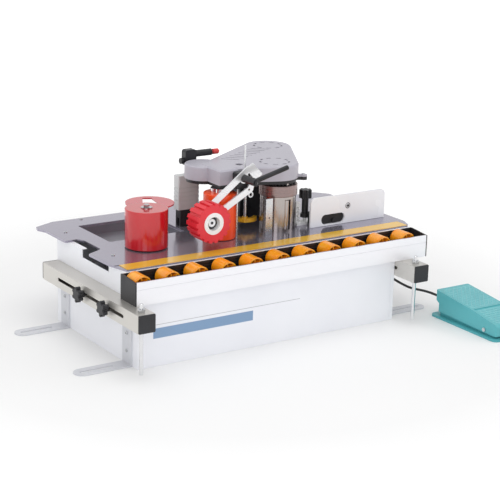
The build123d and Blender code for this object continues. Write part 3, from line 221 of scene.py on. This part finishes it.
# %% Write the finish recipe
def add_group(tree, group, **values):
    box = tree.nodes.new("ShaderNodeGroup")
    box.node_tree = group
    for label, value in values.items():
        box.inputs[label.replace("_", " ")].default_value = value
    return box


def mix_colour(tree, mask, first, second):
    mix = tree.nodes.new("ShaderNodeMix")
    mix.data_type = "RGBA"
    for socket, colour in ((mix.inputs[6], first), (mix.inputs[7], second)):
        if isinstance(colour, bpy.types.NodeSocket):
            tree.links.new(colour, socket)
        else:
            socket.default_value = (*colour, 1.0)
    tree.links.new(mask, mix.inputs[0])
    return mix.outputs[2]


def make_finish(name, colour, second, rough, metal=0.0, patch=10.0, grain=900.0, depth=0.00002, stretch=(
    1, 1, 1),
                coat=0.0, scratches=0.0, scratch_scale=40.0):
    finish = bpy.data.materials.new(name)
    finish.use_nodes = True
    tree = finish.node_tree
    shader = tree.nodes["Principled BSDF"]
    shader.inputs["Metallic"].default_value = metal
    shader.inputs["Coat Weight"].default_value = coat
    shader.inputs["Coat Roughness"].default_value = 0.08
    place = tree.nodes.new("ShaderNodeTexCoord")
    drawn = tree.nodes.new("ShaderNodeMapping")
    drawn.inputs["Scale"].default_value = stretch
    uneven = add_group(tree, UNEVEN, Patch_Scale=patch, Grain_Scale=grain)
    tree.links.new(place.outputs["Object"], drawn.inputs["Vector"])
    tree.links.new(drawn.outputs["Vector"], uneven.inputs["Vector"])
    shade = mix_colour(tree, uneven.outputs["Patches"], colour, second)
    tree.links.new(shade, shader.inputs["Base Color"])
    gloss = tree.nodes.new("ShaderNodeMapRange")
    gloss.inputs["To Min"].default_value = rough[0]
    gloss.inputs["To Max"].default_value = rough[1]
    tree.links.new(uneven.outputs["Patches"], gloss.inputs["Value"])
    height = uneven.outputs["Grain"]
    if scratches:
        lines = add_group(tree, SCRATCHES, Scale=scratch_scale)
        tree.links.new(place.outputs["Object"], lines.inputs["Vector"])
        cut = tree.nodes.new("ShaderNodeMath")
        cut.operation = "MULTIPLY_ADD"
        cut.inputs[1].default_value = -scratches
        tree.links.new(lines.outputs["Lines"], cut.inputs[0])
        tree.links.new(height, cut.inputs[2])
        height = cut.outputs["Value"]
    tree.links.new(gloss.outputs["Result"], shader.inputs["Roughness"])
    relief = tree.nodes.new("ShaderNodeBump")
    relief.inputs["Distance"].default_value = depth
    tree.links.new(height, relief.inputs["Height"])
    tree.links.new(relief.outputs["Normal"], shader.inputs["Normal"])
    return finish


def dress(finish, *names):
    for name in names:
        node = nodes[name]
        node.data.materials.clear()
        node.data.materials.append(finish)


print("finish recipe written")

# %% [markdown]
# ## Painted sheet metal
# The case is folded steel sheet under white powder coat. Powder coat melts into a skin with a
# slight orange peel, so it gets a shallow grain a few tenths of a millimetre across and a thin
# clear coat for the soft gloss.

# %% Paint the case
CASE_WHITE = (0.84, 0.85, 0.90)
CASE_WHITE_THICK = (0.88, 0.89, 0.93)
case_paint = make_finish(
    "white_powder_coat", CASE_WHITE, CASE_WHITE_THICK, (0.30, 0.40), patch=5.0, grain=1300.0, depth=0.00003,
    coat=0.25)
dress(case_paint, "body_shell", "bottom_plate")
bracket_paint = make_finish(
    "bracket_powder_coat", (0.60, 0.61, 0.65), (0.67, 0.68, 0.72), (0.34, 0.45), patch=12.0, grain=1200.0,
    depth=0.00003, coat=0.15)
dress(bracket_paint, "foot_brackets")
fence_paint = make_finish(
    "fence_satin_white", (0.80, 0.81, 0.87), (0.86, 0.87, 0.91), (0.22, 0.32), patch=8.0, grain=1500.0,
    depth=0.00001, coat=0.3)
dress(fence_paint, "fence_plate")
print("painted", case_paint.name)

# %% [markdown]
# The front sheet has a plain printed band low on its left half, with a thin rule above it. A
# decal could be a thin plane in front of the sheet, but two thin planes close together flicker.
# The band is drawn in the paint itself, from the sheet's own coordinates: it is blue where X and
# Z both lie between two limits.

# %% Print the band on the front sheet
def inside_limits(tree, value, low, high, soft=0.0004):
    masks = []
    for limit, sign in ((low, 1.0), (high, -1.0)):
        edge = tree.nodes.new("ShaderNodeMapRange")
        edge.inputs["From Min"].default_value = limit - soft * sign
        edge.inputs["From Max"].default_value = limit + soft * sign
        tree.links.new(value, edge.inputs["Value"])
        masks.append(edge.outputs["Result"])
    both = tree.nodes.new("ShaderNodeMath")
    both.operation = "MULTIPLY"
    tree.links.new(masks[0], both.inputs[0])
    tree.links.new(masks[1], both.inputs[1])
    return both.outputs["Value"]


def tint_inside(finish, axes, low, high, colour):
    """Colours the part of a finish that lies between two limits on two axes."""
    tree = finish.node_tree
    base_colour = tree.nodes["Principled BSDF"].inputs["Base Color"]
    place = tree.nodes.new("ShaderNodeTexCoord")
    parts = tree.nodes.new("ShaderNodeSeparateXYZ")
    tree.links.new(place.outputs["Object"], parts.inputs["Vector"])
    mask = tree.nodes.new("ShaderNodeMath")
    mask.operation = "MULTIPLY"
    for i, axis in enumerate(axes):
        tree.links.new(inside_limits(tree, parts.outputs[axis], low[i], high[i]), mask.inputs[i])
    paint = base_colour.links[0].from_socket
    tree.links.new(mix_colour(tree, mask.outputs["Value"], paint, colour), base_colour)


front_paint = make_finish(
    "front_powder_coat", CASE_WHITE, CASE_WHITE_THICK, (0.30, 0.40), patch=5.0, grain=1300.0, depth=0.00003,
    coat=0.25)
tint_inside(front_paint, "XZ", (-0.310, 0.064), (-0.053, 0.087), (0.205, 0.330, 0.515))
tint_inside(front_paint, "XZ", (-0.310, 0.0945), (0.075, 0.0953), (0.22, 0.22, 0.24))
dress(front_paint, "front_panel")
print("printed band on", front_paint.name)

# %% [markdown]
# ## The table
# The table is thick aluminium plate, smooth and anodised, so it mirrors the fence and rollers in
# a soft way. Long shallow lines from the sheet mill run along X. The wear strip let into its
# front is glossy yellow plastic.

# %% Finish the table
table_metal = make_finish(
    "anodised_table", (0.36, 0.34, 0.42), (0.41, 0.39, 0.47), (0.13, 0.20), metal=0.7, patch=3.0,
    grain=260.0, depth=0.000006, stretch=(0.15, 1, 1), coat=0.2, scratches=0.4, scratch_scale=25.0)
dress(table_metal, "table_plate")
strip_yellow = make_finish(
    "wear_strip_yellow", (0.76, 0.44, 0.045), (0.84, 0.52, 0.07), (0.16, 0.26), patch=6.0, grain=500.0,
    depth=0.00001, stretch=(0.2, 1, 1), coat=0.3, scratches=0.5)
dress(strip_yellow, "table_edge_strip")
tray_metal = make_finish(
    "tray_sheet", (0.30, 0.30, 0.34), (0.37, 0.37, 0.41), (0.28, 0.42), metal=0.8, patch=9.0, grain=700.0,
    depth=0.00001)
dress(tray_metal, "reel_tray")
print("table finished")

# %% [markdown]
# ## Extrusions
# Aluminium profiles come out of a die, so every mark runs along their length. The tubes lie along
# Y and the track along X, and the grain is stretched to match. A brushed look could use an
# anisotropic shader, but drawn-out grain does the same and survives in an exported model. The
# inside of the track is painted near-black as painted shade, so the rollers stand out from it.

# %% Finish the tubes and the track
tube_metal = make_finish(
    "champagne_tube", (0.62, 0.60, 0.56), (0.70, 0.68, 0.64), (0.28, 0.38), metal=0.7, patch=14.0,
    grain=1500.0, depth=0.000012, stretch=(1, 0.02, 1))
dress(tube_metal, "arm_tubes")
track_metal_and_shade = make_finish(
    "bright_track_and_channel_shade", (0.86, 0.86, 0.91), (0.92, 0.92, 0.95), (0.24, 0.34), metal=0.3, patch=10.0,
    grain=1500.0, depth=0.00001, stretch=(0.02, 1, 1), coat=0.2)
dress(track_metal_and_shade, "roller_track")
# Painted shade: the channel between the track walls is mixed to near-black for the shadow between the
# rollers.
tint_inside(track_metal_and_shade, "YZ", (-0.2043, 0.1530), (-0.1432, 0.2064), (0.03, 0.03, 0.035))
print("extrusions finished")

# %% [markdown]
# ## Plastics
# Caps, knobs and glands are moulded in black plastic with a fine spark-eroded grain. The track
# rollers are a warm orange plastic, smoother because they are turned on the rim.

# %% Mould the plastics
black_plastic = make_finish(
    "black_moulding", (0.012, 0.012, 0.015), (0.022, 0.022, 0.026), (0.34, 0.48), patch=30.0, grain=1800.0,
    depth=0.00004, scratches=0.3)
knobs = [name for name in nodes if name.startswith("clamp_knob")]
dress(black_plastic, "end_caps", "guide_knob", "hold_handle", "cutter_fittings", "cable_glands", *knobs)
roller_orange = make_finish(
    "orange_roller", (0.95, 0.31, 0.006), (0.98, 0.41, 0.012), (0.22, 0.32), patch=40.0, grain=900.0,
    depth=0.00002, coat=0.4)
dress(roller_orange, *[name for name in nodes if name.startswith("track_roller")])
white_plastic = make_finish(
    "white_moulding", (0.82, 0.82, 0.83), (0.88, 0.88, 0.89), (0.25, 0.35), patch=25.0, grain=1200.0,
    depth=0.00002, coat=0.2)
dress(white_plastic, "hold_hub", "guide_block")
print("plastics moulded")

# %% [markdown]
# ## Red rollers and wheel
# Three reds do three jobs. The press roller is cast polyurethane, almost a mirror. The feed
# roller is orange rubber with a duller skin. The hold-down wheel is pinker and its lugs are
# scuffed, so its roughness changes more.

# %% Cast the reds
press_red = make_finish(
    "press_polyurethane", (0.50, 0.006, 0.012), (0.58, 0.010, 0.018), (0.10, 0.18), patch=8.0, grain=400.0,
    depth=0.00001, coat=0.6)
dress(press_red, "press_roller")
feed_red = make_finish(
    "feed_rubber", (0.90, 0.060, 0.004), (0.96, 0.085, 0.008), (0.24, 0.36), patch=14.0, grain=1000.0,
    depth=0.00003, coat=0.2)
dress(feed_red, "feed_roller")
wheel_red = make_finish(
    "wheel_rubber", (0.68, 0.018, 0.034), (0.78, 0.034, 0.052), (0.28, 0.50), patch=25.0, grain=900.0,
    depth=0.00006)
dress(wheel_red, "hold_wheel")
guard_red = make_finish(
    "guard_enamel", (0.55, 0.030, 0.050), (0.62, 0.045, 0.065), (0.16, 0.26), patch=10.0, grain=800.0,
    depth=0.00001, coat=0.5)
dress(guard_red, "press_guard")
button_red = make_finish(
    "button_cap", (0.62, 0.05, 0.05), (0.70, 0.08, 0.07), (0.3, 0.42), patch=30.0, grain=1200.0,
    depth=0.00003)
dress(button_red, "cutter_button")
print("reds cast")

# %% [markdown]
# ## Turned and plated steel
# The pot is a turned cylinder, so its tool marks are rings: lines that run round it and are
# stacked up Z. The same recipe draws them with a stretch that is large in Z only. Leg rods and
# the feed spindle are plated and nearly free of grain.

# %% Turn the steel
turned_steel = make_finish(
    "turned_pot", (0.40, 0.36, 0.34), (0.47, 0.43, 0.41), (0.17, 0.26), metal=1.0, patch=20.0,
    grain=1500.0, depth=0.000008, stretch=(0.03, 0.03, 1))
dress(turned_steel, "glue_pot", "glue_roller", "motor_pulley")
plated_steel = make_finish(
    "plated_rod", (0.72, 0.73, 0.74), (0.80, 0.80, 0.81), (0.07, 0.14), metal=1.0, patch=40.0,
    grain=1200.0, depth=0.000006, stretch=(0.05, 0.05, 1))
dress(plated_steel, "leg_left", "leg_right", "feed_spindle")
zinc_steel = make_finish(
    "zinc_fastener", (0.60, 0.61, 0.63), (0.70, 0.71, 0.72), (0.22, 0.34), metal=1.0, patch=120.0,
    grain=2500.0, depth=0.00001)
dress(zinc_steel, "steel_fasteners", "track_steelwork", "steel_posts", "pedal_spring")
arm_steel = make_finish(
    "satin_arm", (0.80, 0.81, 0.83), (0.88, 0.88, 0.90), (0.24, 0.34), metal=0.6, patch=20.0, grain=1600.0,
    depth=0.00001, stretch=(0.1, 1, 1), coat=0.2)
dress(arm_steel, "hold_arm")
collar_metal = make_finish(
    "collar_anodised", (0.26, 0.19, 0.185), (0.33, 0.25, 0.24), (0.22, 0.32), metal=0.75, patch=30.0,
    grain=1600.0, depth=0.00001, stretch=(0.03, 0.03, 1))
dress(collar_metal, "glue_collar")
print("steel turned")

# %% [markdown]
# ## Castings
# The head cover is a sand or pressure casting under grey paint. The sand leaves a skin with soft
# hollows a millimetre across, which paint only half fills. The motor and the bracket are the same
# sort of thing in black.

# %% Paint the castings
cover_paint = make_finish(
    "cover_grey", (0.40, 0.385, 0.445), (0.46, 0.445, 0.505), (0.32, 0.44), patch=9.0, grain=700.0,
    depth=0.00012, coat=0.15)
dress(cover_paint, "head_cover")
motor_black = make_finish(
    "motor_enamel", (0.010, 0.010, 0.012), (0.018, 0.018, 0.021), (0.34, 0.5), patch=14.0, grain=700.0,
    depth=0.0001)
dress(motor_black, "drive_motor", "hold_bracket", "fence_block", "head_base")
belt_rubber = make_finish(
    "belt_rubber", (0.02, 0.02, 0.02), (0.03, 0.03, 0.03), (0.5, 0.65), patch=40.0, grain=1500.0,
    depth=0.00005)
dress(belt_rubber, "drive_belts", "pedal_cord")
cutter_alloy = make_finish(
    "blasted_alloy", (0.62, 0.63, 0.64), (0.70, 0.71, 0.71), (0.36, 0.46), metal=0.15, patch=20.0,
    grain=1600.0, depth=0.00004)
dress(cutter_alloy, "cutter_body")
hook_yellow = make_finish(
    "hook_amber", (0.92, 0.46, 0.02), (0.96, 0.55, 0.04), (0.26, 0.36), patch=20.0, grain=900.0,
    depth=0.00002, coat=0.3)
dress(hook_yellow, "tape_hook")
pedal_paint = make_finish(
    "pedal_teal", (0.075, 0.40, 0.44), (0.095, 0.46, 0.50), (0.26, 0.38), patch=12.0, grain=900.0,
    depth=0.00006, coat=0.25)
dress(pedal_paint, "pedal_treadle")
pedal_dark = make_finish(
    "pedal_teal_base", (0.060, 0.35, 0.385), (0.080, 0.40, 0.44), (0.30, 0.42), patch=12.0, grain=900.0,
    depth=0.00006)
dress(pedal_dark, "pedal_base")
lead_sheath = make_finish(
    "lead_sheath", (0.010, 0.010, 0.011), (0.018, 0.018, 0.019), (0.38, 0.5), patch=60.0, grain=2500.0,
    depth=0.00003)
pedal_lead.data.materials.append(lead_sheath)
print("castings painted")

# %% [markdown]
# ## Small turned and cast details
# A few fine things are too small to be parts of the solid model, yet the eye misses them when they
# are gone: socket screws, a dark washer, a ring of cooling fins. A dark ring in the fence's recess is
# painted shade: it stands for the shadow in the ring groove. Each is a short mesh made in
# code. A ring of sections is the quickest way to a turned shape: a list of radius and height
# steps is spun round an axis. Every detail rides on the body that carries it.

# %% Make the screws, the washer and the fins
def add_piece(name, build, finish, body=None, where=Matrix()):
    """Turns a finished bmesh into an object, put in its place, that rides on a body."""
    mesh = bpy.data.meshes.new(name)
    build.to_mesh(mesh)
    build.free()
    mesh.materials.append(finish)
    piece = bpy.data.objects.new(name, mesh)
    piece.matrix_world = where
    bpy.context.collection.objects.link(piece)
    if body:
        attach(piece, body)
    return piece


def round_section(build, radius, height, sides):
    corners = []
    for i in range(sides):
        angle = 2 * math.pi * i / sides
        corners.append(build.verts.new((radius * math.cos(angle), radius * math.sin(angle), height)))
    return corners


def turned_shape(name, steps, place, direction, finish, body, sides=40):
    """Spins a list of (radius, height) steps; equal first and last steps make a closed ring."""
    build = bmesh.new()
    rings = [round_section(build, radius, height, sides) for radius, height in steps]
    for lower, upper in zip(rings, rings[1:]):
        for i in range(sides):
            build.faces.new((lower[i], lower[(i + 1) % sides], upper[(i + 1) % sides], upper[i]))
    if steps[0] != steps[-1]:
        build.faces.new(list(reversed(rings[0])))
        build.faces.new(rings[-1])
    else:
        bmesh.ops.remove_doubles(build, verts=build.verts, dist=1e-7)
    bmesh.ops.recalc_face_normals(build, faces=build.faces)
    turn = Vector(direction).to_track_quat("Z", "Y").to_matrix().to_4x4()
    return add_piece(name, build, finish, body, Matrix.Translation(Vector(place)) @ turn)


def flat_ring(inner, outer, low, high):
    return [(inner, low), (outer, low), (outer, high), (inner, high), (inner, low)]


def socket_screw(name, place, direction, radius, height, body, finish):
    hole = radius * 0.5
    steps = [
        (radius, -0.0004), (radius, height * 0.6), (radius * 0.8, height), (hole, height),
        (hole * 0.95, height * 0.35)]
    return turned_shape(name, steps, place, direction, finish, body)


FRONT_WARDS = (0, -1, 0)
socket_steel = make_finish(
    "socket_screw_steel", (0.70, 0.70, 0.72), (0.80, 0.80, 0.81), (0.30, 0.42), metal=0.4, patch=150.0,
    grain=2500.0, depth=0.00001)
dark_steel_and_shade = make_finish(
    "dark_washer_and_painted_shade", (0.05, 0.05, 0.055), (0.09, 0.09, 0.095), (0.25, 0.35), metal=0.8, patch=120.0,
    grain=2200.0, depth=0.00001)
socket_screw(
    "handle_screw", (0.0, -0.1118, 0.357), FRONT_WARDS, 0.0048, 0.0022, "hold_handle_body", socket_steel)
socket_screw(
    "fence_screw", (0.308, -0.0510, 0.254), FRONT_WARDS, 0.0034, 0.0018, "fence_plate_body", dark_steel_and_shade)
# Painted shade: this dark ring on the recess floor stands for the shadow in the fence's ring groove.
turned_shape(
    "fence_ring_painted_shade", flat_ring(0.0055, 0.0073, 0.0, 0.0004), (0.308, -0.0491, 0.254), FRONT_WARDS, dark_steel_and_shade,
    "fence_plate_body")
turned_shape(
    "wheel_washer", flat_ring(0.0096, 0.0146, 0.0, 0.0016), (-0.109, -0.0951, 0.275), FRONT_WARDS, dark_steel_and_shade,
    "hold_wheel_set")
turned_shape(
    "axle_socket", [(0.0034, -0.0003), (0.0034, 0.0006), (0.0026, 0.0008)], (-0.109, -0.1000, 0.275),
    FRONT_WARDS, dark_steel_and_shade, "hold_arm_body")


def make_fins(name, centre, inner, outer, low, high, count, finish, body):
    build = bmesh.new()
    for i in range(count):
        turn = Matrix.Rotation(2 * math.pi * i / count, 4, "Z")
        size = Matrix.Diagonal((outer - inner, 0.0026, high - low, 1.0))
        shift = Matrix.Translation(((inner + outer) / 2, 0, (low + high) / 2))
        bmesh.ops.create_cube(build, size=1.0, matrix=turn @ shift @ size)
    return add_piece(name, build, finish, body, Matrix.Translation(centre))


POT_AXIS = (0.131, -0.008, 0.0)
make_fins("pot_fins", POT_AXIS, 0.030, 0.0415, 0.3224, 0.3298, 30, motor_black, "case")
turned_shape(
    "fin_ring", flat_ring(0.031, 0.0405, 0.3258, 0.3298), POT_AXIS, (0, 0, 1), motor_black, "case")
print("screws, washer and fins made")

# %% [markdown]
# ## The grip pattern on the pedal
# A foot pedal is cast with raised lines so that a shoe doesn't slip: crossed diagonal lines on the
# steep rear part and a brick pattern near the toe. A bump texture would vanish at the outline, so
# the lines are real: each is a low ridge that follows the surface. Its height comes from rays
# dropped on the treadle, so the ridges fit whatever slope the plate has.

# %% Raise the grip lines
treadle = nodes["pedal_treadle"]
GRIP_HEIGHT = 0.0010
GRIP_HALF_WIDTH = 0.0013
GRIP_STEP = 0.004


def height_on(shape, x, y):
    back = shape.matrix_world.inverted()
    start = back @ Vector((x, y, 0.2))
    hit, where, _, _ = shape.ray_cast(start, back.to_3x3() @ Vector((0, 0, -1)))
    return (shape.matrix_world @ where).z if hit else None


def add_ridge(build, shape, start, stop):
    along = Vector(stop) - Vector(start)
    side = Vector((-along.y, along.x)).normalized() * GRIP_HALF_WIDTH
    steps = max(1, round(along.length / GRIP_STEP))
    rows = []
    for i in range(steps + 1):
        place = Vector(start) + along * i / steps
        row = []
        for shift, lift in ((-1, -0.0003), (0, GRIP_HEIGHT), (1, -0.0003)):
            x, y = place + side * shift
            z = height_on(shape, x, y)
            if z is None:
                return
            row.append(build.verts.new((x, y, z + lift)))
        rows.append(row)
    for first, second in zip(rows, rows[1:]):
        for k in (0, 1):
            build.faces.new((first[k], first[k + 1], second[k + 1], second[k]))
        build.faces.new((first[0], second[0], second[2], first[2]))
    build.faces.new(rows[0])
    build.faces.new(list(reversed(rows[-1])))


def slanted_line(start, slope, low, high):
    """The part of a slanted line that lies inside a box given by two corners, or None."""
    ends = []
    for x in (low[0], high[0]):
        y = min(max(start + slope * (x - low[0]), low[1]), high[1])
        ends.append((low[0] + (y - start) / slope, y))
    return ends if abs(ends[1][1] - ends[0][1]) > 0.004 else None


def make_grip(name, finish):
    build = bmesh.new()
    left, right = 0.4645, 0.5495
    back_low, back_high = -0.3405, -0.2330
    for i in range(-12, 24):
        for slope in (1.25, -1.25):
            start = back_low + i * 0.0165 if slope > 0 else back_high - i * 0.0165
            line = slanted_line(start, slope, (left, back_low), (right, back_high))
            if line:
                add_ridge(build, treadle, *line)
    for row in range(8):
        y = -0.3600 - row * 0.0088
        add_ridge(build, treadle, (left, y), (right, y))
        for k in range(6):
            x = left + 0.007 + (k + (0.5 if row % 2 else 0.0)) * 0.0142
            if row < 7 and x < right:
                add_ridge(build, treadle, (x, y), (x, y - 0.0088))
    for x in (left, right):
        add_ridge(build, treadle, (x, back_high), (x, back_low))
    for y in (back_low, back_high):
        add_ridge(build, treadle, (left, y), (right, y))
    bmesh.ops.recalc_face_normals(build, faces=build.faces)
    return add_piece(name, build, finish, "pedal_treadle_body")


# Painted highlight: the ridges get a lighter teal than the treadle, standing for the light caught along the
# raised lines.
teal_with_painted_highlight = make_finish(
    "pedal_teal_painted_highlight", (0.17, 0.50, 0.54), (0.24, 0.58, 0.61), (0.26, 0.38), patch=12.0, grain=900.0,
    depth=0.00004, coat=0.25)
grip = make_grip("pedal_grip", teal_with_painted_highlight)
print("grip lines raised:", len(grip.data.polygons), "faces")

# %% [markdown]
# ## The pedal's spring
# The spring hides under the treadle. The solid model holds only its outline, and a solid outline
# can't get shorter, so it would come through the treadle when the pedal goes down. A real coil
# made from a round wire stands in for it. The wire is
# swept by hand: a small ring of corners is repeated along a rising circle.

# %% Wind the spring
def make_spring(
    name, centre, low, high, coil_radius, wire_radius, turns, finish, sides=8, steps_in_turn=20):
    build = bmesh.new()
    rings = []
    steps = turns * steps_in_turn
    for i in range(steps + 1):
        angle = 2 * math.pi * i / steps_in_turn
        outwards = Vector((math.cos(angle), math.sin(angle), 0))
        middle = Vector((*centre, low + (high - low) * i / steps)) + outwards * coil_radius
        ring = []
        for k in range(sides):
            round_wire = 2 * math.pi * k / sides
            shift = outwards * math.cos(round_wire) + Vector((0, 0, math.sin(round_wire)))
            ring.append(build.verts.new(middle + shift * wire_radius))
        rings.append(ring)
    for first, second in zip(rings, rings[1:]):
        for k in range(sides):
            build.faces.new((first[k], first[(k + 1) % sides], second[(k + 1) % sides], second[k]))
    build.faces.new(rings[0])
    build.faces.new(list(reversed(rings[-1])))
    bmesh.ops.recalc_face_normals(build, faces=build.faces)
    return add_piece(name, build, finish)


SPRING_FOOT = 0.026
SPRING_AXIS = (0.507, -0.260)
return_spring = make_spring(
    "pedal_coil", SPRING_AXIS, SPRING_FOOT + 0.001, 0.056, 0.006, 0.0009, 6, zinc_steel)
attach(return_spring, "case")
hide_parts("pedal_spring")
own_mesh(return_spring)
print("spring wound with", len(return_spring.data.polygons), "faces")

# %% [markdown]
# ## Soft edges
# No real edge is perfectly sharp. A small bevel catches a line of light and makes sheet metal
# read as metal. The shapes are not touched: a bevel modifier cuts only the corners, by a few
# tenths of a millimetre.

# %% Ease the edges
EDGE_WIDTHS = {
    0.0008: ["body_shell", "front_panel", "arm_tubes", "end_caps", "pedal_base"],
    0.0005: [
        "table_plate", "roller_track", "foot_brackets", "fence_plate", "hold_arm", "cutter_body",
        "cutter_fittings", "guide_block"],
}
for width, names in EDGE_WIDTHS.items():
    for name in names:
        bevel = nodes[name].modifiers.new("eased_edges", "BEVEL")
        bevel.width = width
        bevel.segments = 2
        bevel.limit_method = "ANGLE"
        bevel.angle_limit = math.radians(50)
        bevel.harden_normals = True
print("eased", sum(len(names) for names in EDGE_WIDTHS.values()), "nodes")

# %% [markdown]
# ## Floor and light
# A product set is a white floor that runs out of sight, a broad soft light overhead and a softer
# one at the side. Broad lights give metal wide highlights with gentle ends. The floor glows a little
# further out, like a lit sweep, so that no horizon shows. Photographers stand black flags round
# shiny things, because steel shows only what is round it. Here the flags are dark bands in the
# sky, seen by mirror rays alone: the sky is white to the eye and even in the light it gives.

# %% Build the set
SKY_STRENGTH = 0.80
FLAGS = [(0.15, 0.80), (0.19, 0.10), (0.28, 0.08), (0.30, 0.75), (0.33, 0.80), (0.355, 0.12), (0.43, 0.10),
         (0.455, 0.90), (0.485, 0.90), (0.51, 0.15), (0.57, 0.12), (0.595, 0.45), (0.65, 0.40), (
             0.68, 0.08),
         (0.74, 0.08), (0.76, 0.90), (0.79, 0.90), (0.81, 0.15), (0.85, 0.80)]


def make_floor():
    mesh = bpy.data.meshes.new("studio_floor")
    build = bmesh.new()
    bmesh.ops.create_grid(build, x_segments=1, y_segments=1, size=14.0)
    build.to_mesh(mesh)
    build.free()
    floor = bpy.data.objects.new("studio_floor", mesh)
    floor.location = (0, 4.0, -0.0002)
    bpy.context.collection.objects.link(floor)
    paper = make_finish(
        "studio_paper", (0.90, 0.90, 0.90), (0.92, 0.92, 0.92), (0.6, 0.7), patch=1.0, grain=300.0,
        depth=0.00002)
    tree = paper.node_tree
    place = tree.nodes.new("ShaderNodeTexCoord")
    away = tree.nodes.new("ShaderNodeVectorMath")
    away.operation = "DISTANCE"
    away.inputs[1].default_value = (0, -4.0, 0)
    glow = tree.nodes.new("ShaderNodeMapRange")
    glow.inputs["From Min"].default_value = 0.7
    glow.inputs["From Max"].default_value = 2.2
    glow.inputs["To Max"].default_value = 0.5
    tree.links.new(place.outputs["Object"], away.inputs[0])
    tree.links.new(away.outputs["Value"], glow.inputs["Value"])
    shader = tree.nodes["Principled BSDF"]
    shader.inputs["Emission Color"].default_value = (1, 1, 1, 1)
    tree.links.new(glow.outputs["Result"], shader.inputs["Emission Strength"])
    floor.data.materials.append(paper)
    return floor


def make_light(name, place, target, size, power, colour=(1, 1, 1)):
    lamp = bpy.data.lights.new(name, "AREA")
    lamp.shape = "RECTANGLE"
    lamp.size, lamp.size_y = size
    lamp.energy = power
    lamp.color = colour
    light = bpy.data.objects.new(name, lamp)
    light.location = place
    light.rotation_euler = (Vector(target) - Vector(place)).to_track_quat("-Z", "Y").to_euler()
    bpy.context.collection.objects.link(light)


def make_sky():
    sky = bpy.context.scene.world or bpy.data.worlds.new("studio_sky")
    bpy.context.scene.world = sky
    sky.use_nodes = True
    tree = sky.node_tree
    tree.nodes.clear()
    place = tree.nodes.new("ShaderNodeTexCoord")
    parts = tree.nodes.new("ShaderNodeSeparateXYZ")
    tree.links.new(place.outputs["Generated"], parts.inputs["Vector"])
    turn = tree.nodes.new("ShaderNodeMath")
    turn.operation = "ARCTAN2"
    behind = tree.nodes.new("ShaderNodeMath")
    behind.operation = "MULTIPLY"
    behind.inputs[1].default_value = -1.0
    tree.links.new(parts.outputs["Y"], behind.inputs[0])
    tree.links.new(parts.outputs["X"], turn.inputs[0])
    tree.links.new(behind.outputs["Value"], turn.inputs[1])
    round_it = tree.nodes.new("ShaderNodeMapRange")
    round_it.inputs["From Min"].default_value = -math.pi
    round_it.inputs["From Max"].default_value = math.pi
    tree.links.new(turn.outputs["Value"], round_it.inputs["Value"])
    bands = tree.nodes.new("ShaderNodeValToRGB")
    bands.color_ramp.interpolation = "EASE"
    for place_on_ramp, grey in FLAGS:
        stop = bands.color_ramp.elements.new(place_on_ramp)
        stop.color = (grey, grey, grey, 1.0)
    for end_stop in (bands.color_ramp.elements[0], bands.color_ramp.elements[-1]):
        end_stop.color = (0.8, 0.8, 0.8, 1.0)
    tree.links.new(round_it.outputs["Result"], bands.inputs["Fac"])
    overhead = tree.nodes.new("ShaderNodeMapRange")
    overhead.inputs["From Min"].default_value = 0.35
    overhead.inputs["From Max"].default_value = 0.75
    tree.links.new(parts.outputs["Z"], overhead.inputs["Value"])
    mirrored = mix_colour(tree, overhead.outputs["Result"], bands.outputs["Color"], (0.85, 0.85, 0.85))
    shown = {}
    for label, strength in (("seen", 1.0), ("felt", SKY_STRENGTH), ("mirrored", 1.0)):
        shown[label] = tree.nodes.new("ShaderNodeBackground")
        shown[label].inputs["Strength"].default_value = strength
        shown[label].inputs["Color"].default_value = (1, 1, 1, 1)
    tree.links.new(mirrored, shown["mirrored"].inputs["Color"])
    ray = tree.nodes.new("ShaderNodeLightPath")
    gloss = tree.nodes.new("ShaderNodeMixShader")
    pick = tree.nodes.new("ShaderNodeMixShader")
    end = tree.nodes.new("ShaderNodeOutputWorld")
    tree.links.new(ray.outputs["Is Glossy Ray"], gloss.inputs["Fac"])
    tree.links.new(shown["felt"].outputs["Background"], gloss.inputs[1])
    tree.links.new(shown["mirrored"].outputs["Background"], gloss.inputs[2])
    tree.links.new(ray.outputs["Is Camera Ray"], pick.inputs["Fac"])
    tree.links.new(gloss.outputs["Shader"], pick.inputs[1])
    tree.links.new(shown["seen"].outputs["Background"], pick.inputs[2])
    tree.links.new(pick.outputs["Shader"], end.inputs["Surface"])


make_floor()
make_light("overhead_box", (-0.3, -0.2, 2.6), (0, 0, 0.1), (2.6, 1.8), 17)
make_light("front_left_box", (-2.2, -2.6, 1.5), (0, 0, 0.15), (1.4, 1.6), 15)
make_light("right_fill", (2.6, -1.2, 1.3), (0.1, 0, 0.2), (1.2, 1.4), 6)
make_sky()
bpy.context.scene.view_settings.view_transform = "Standard"
print("set built")
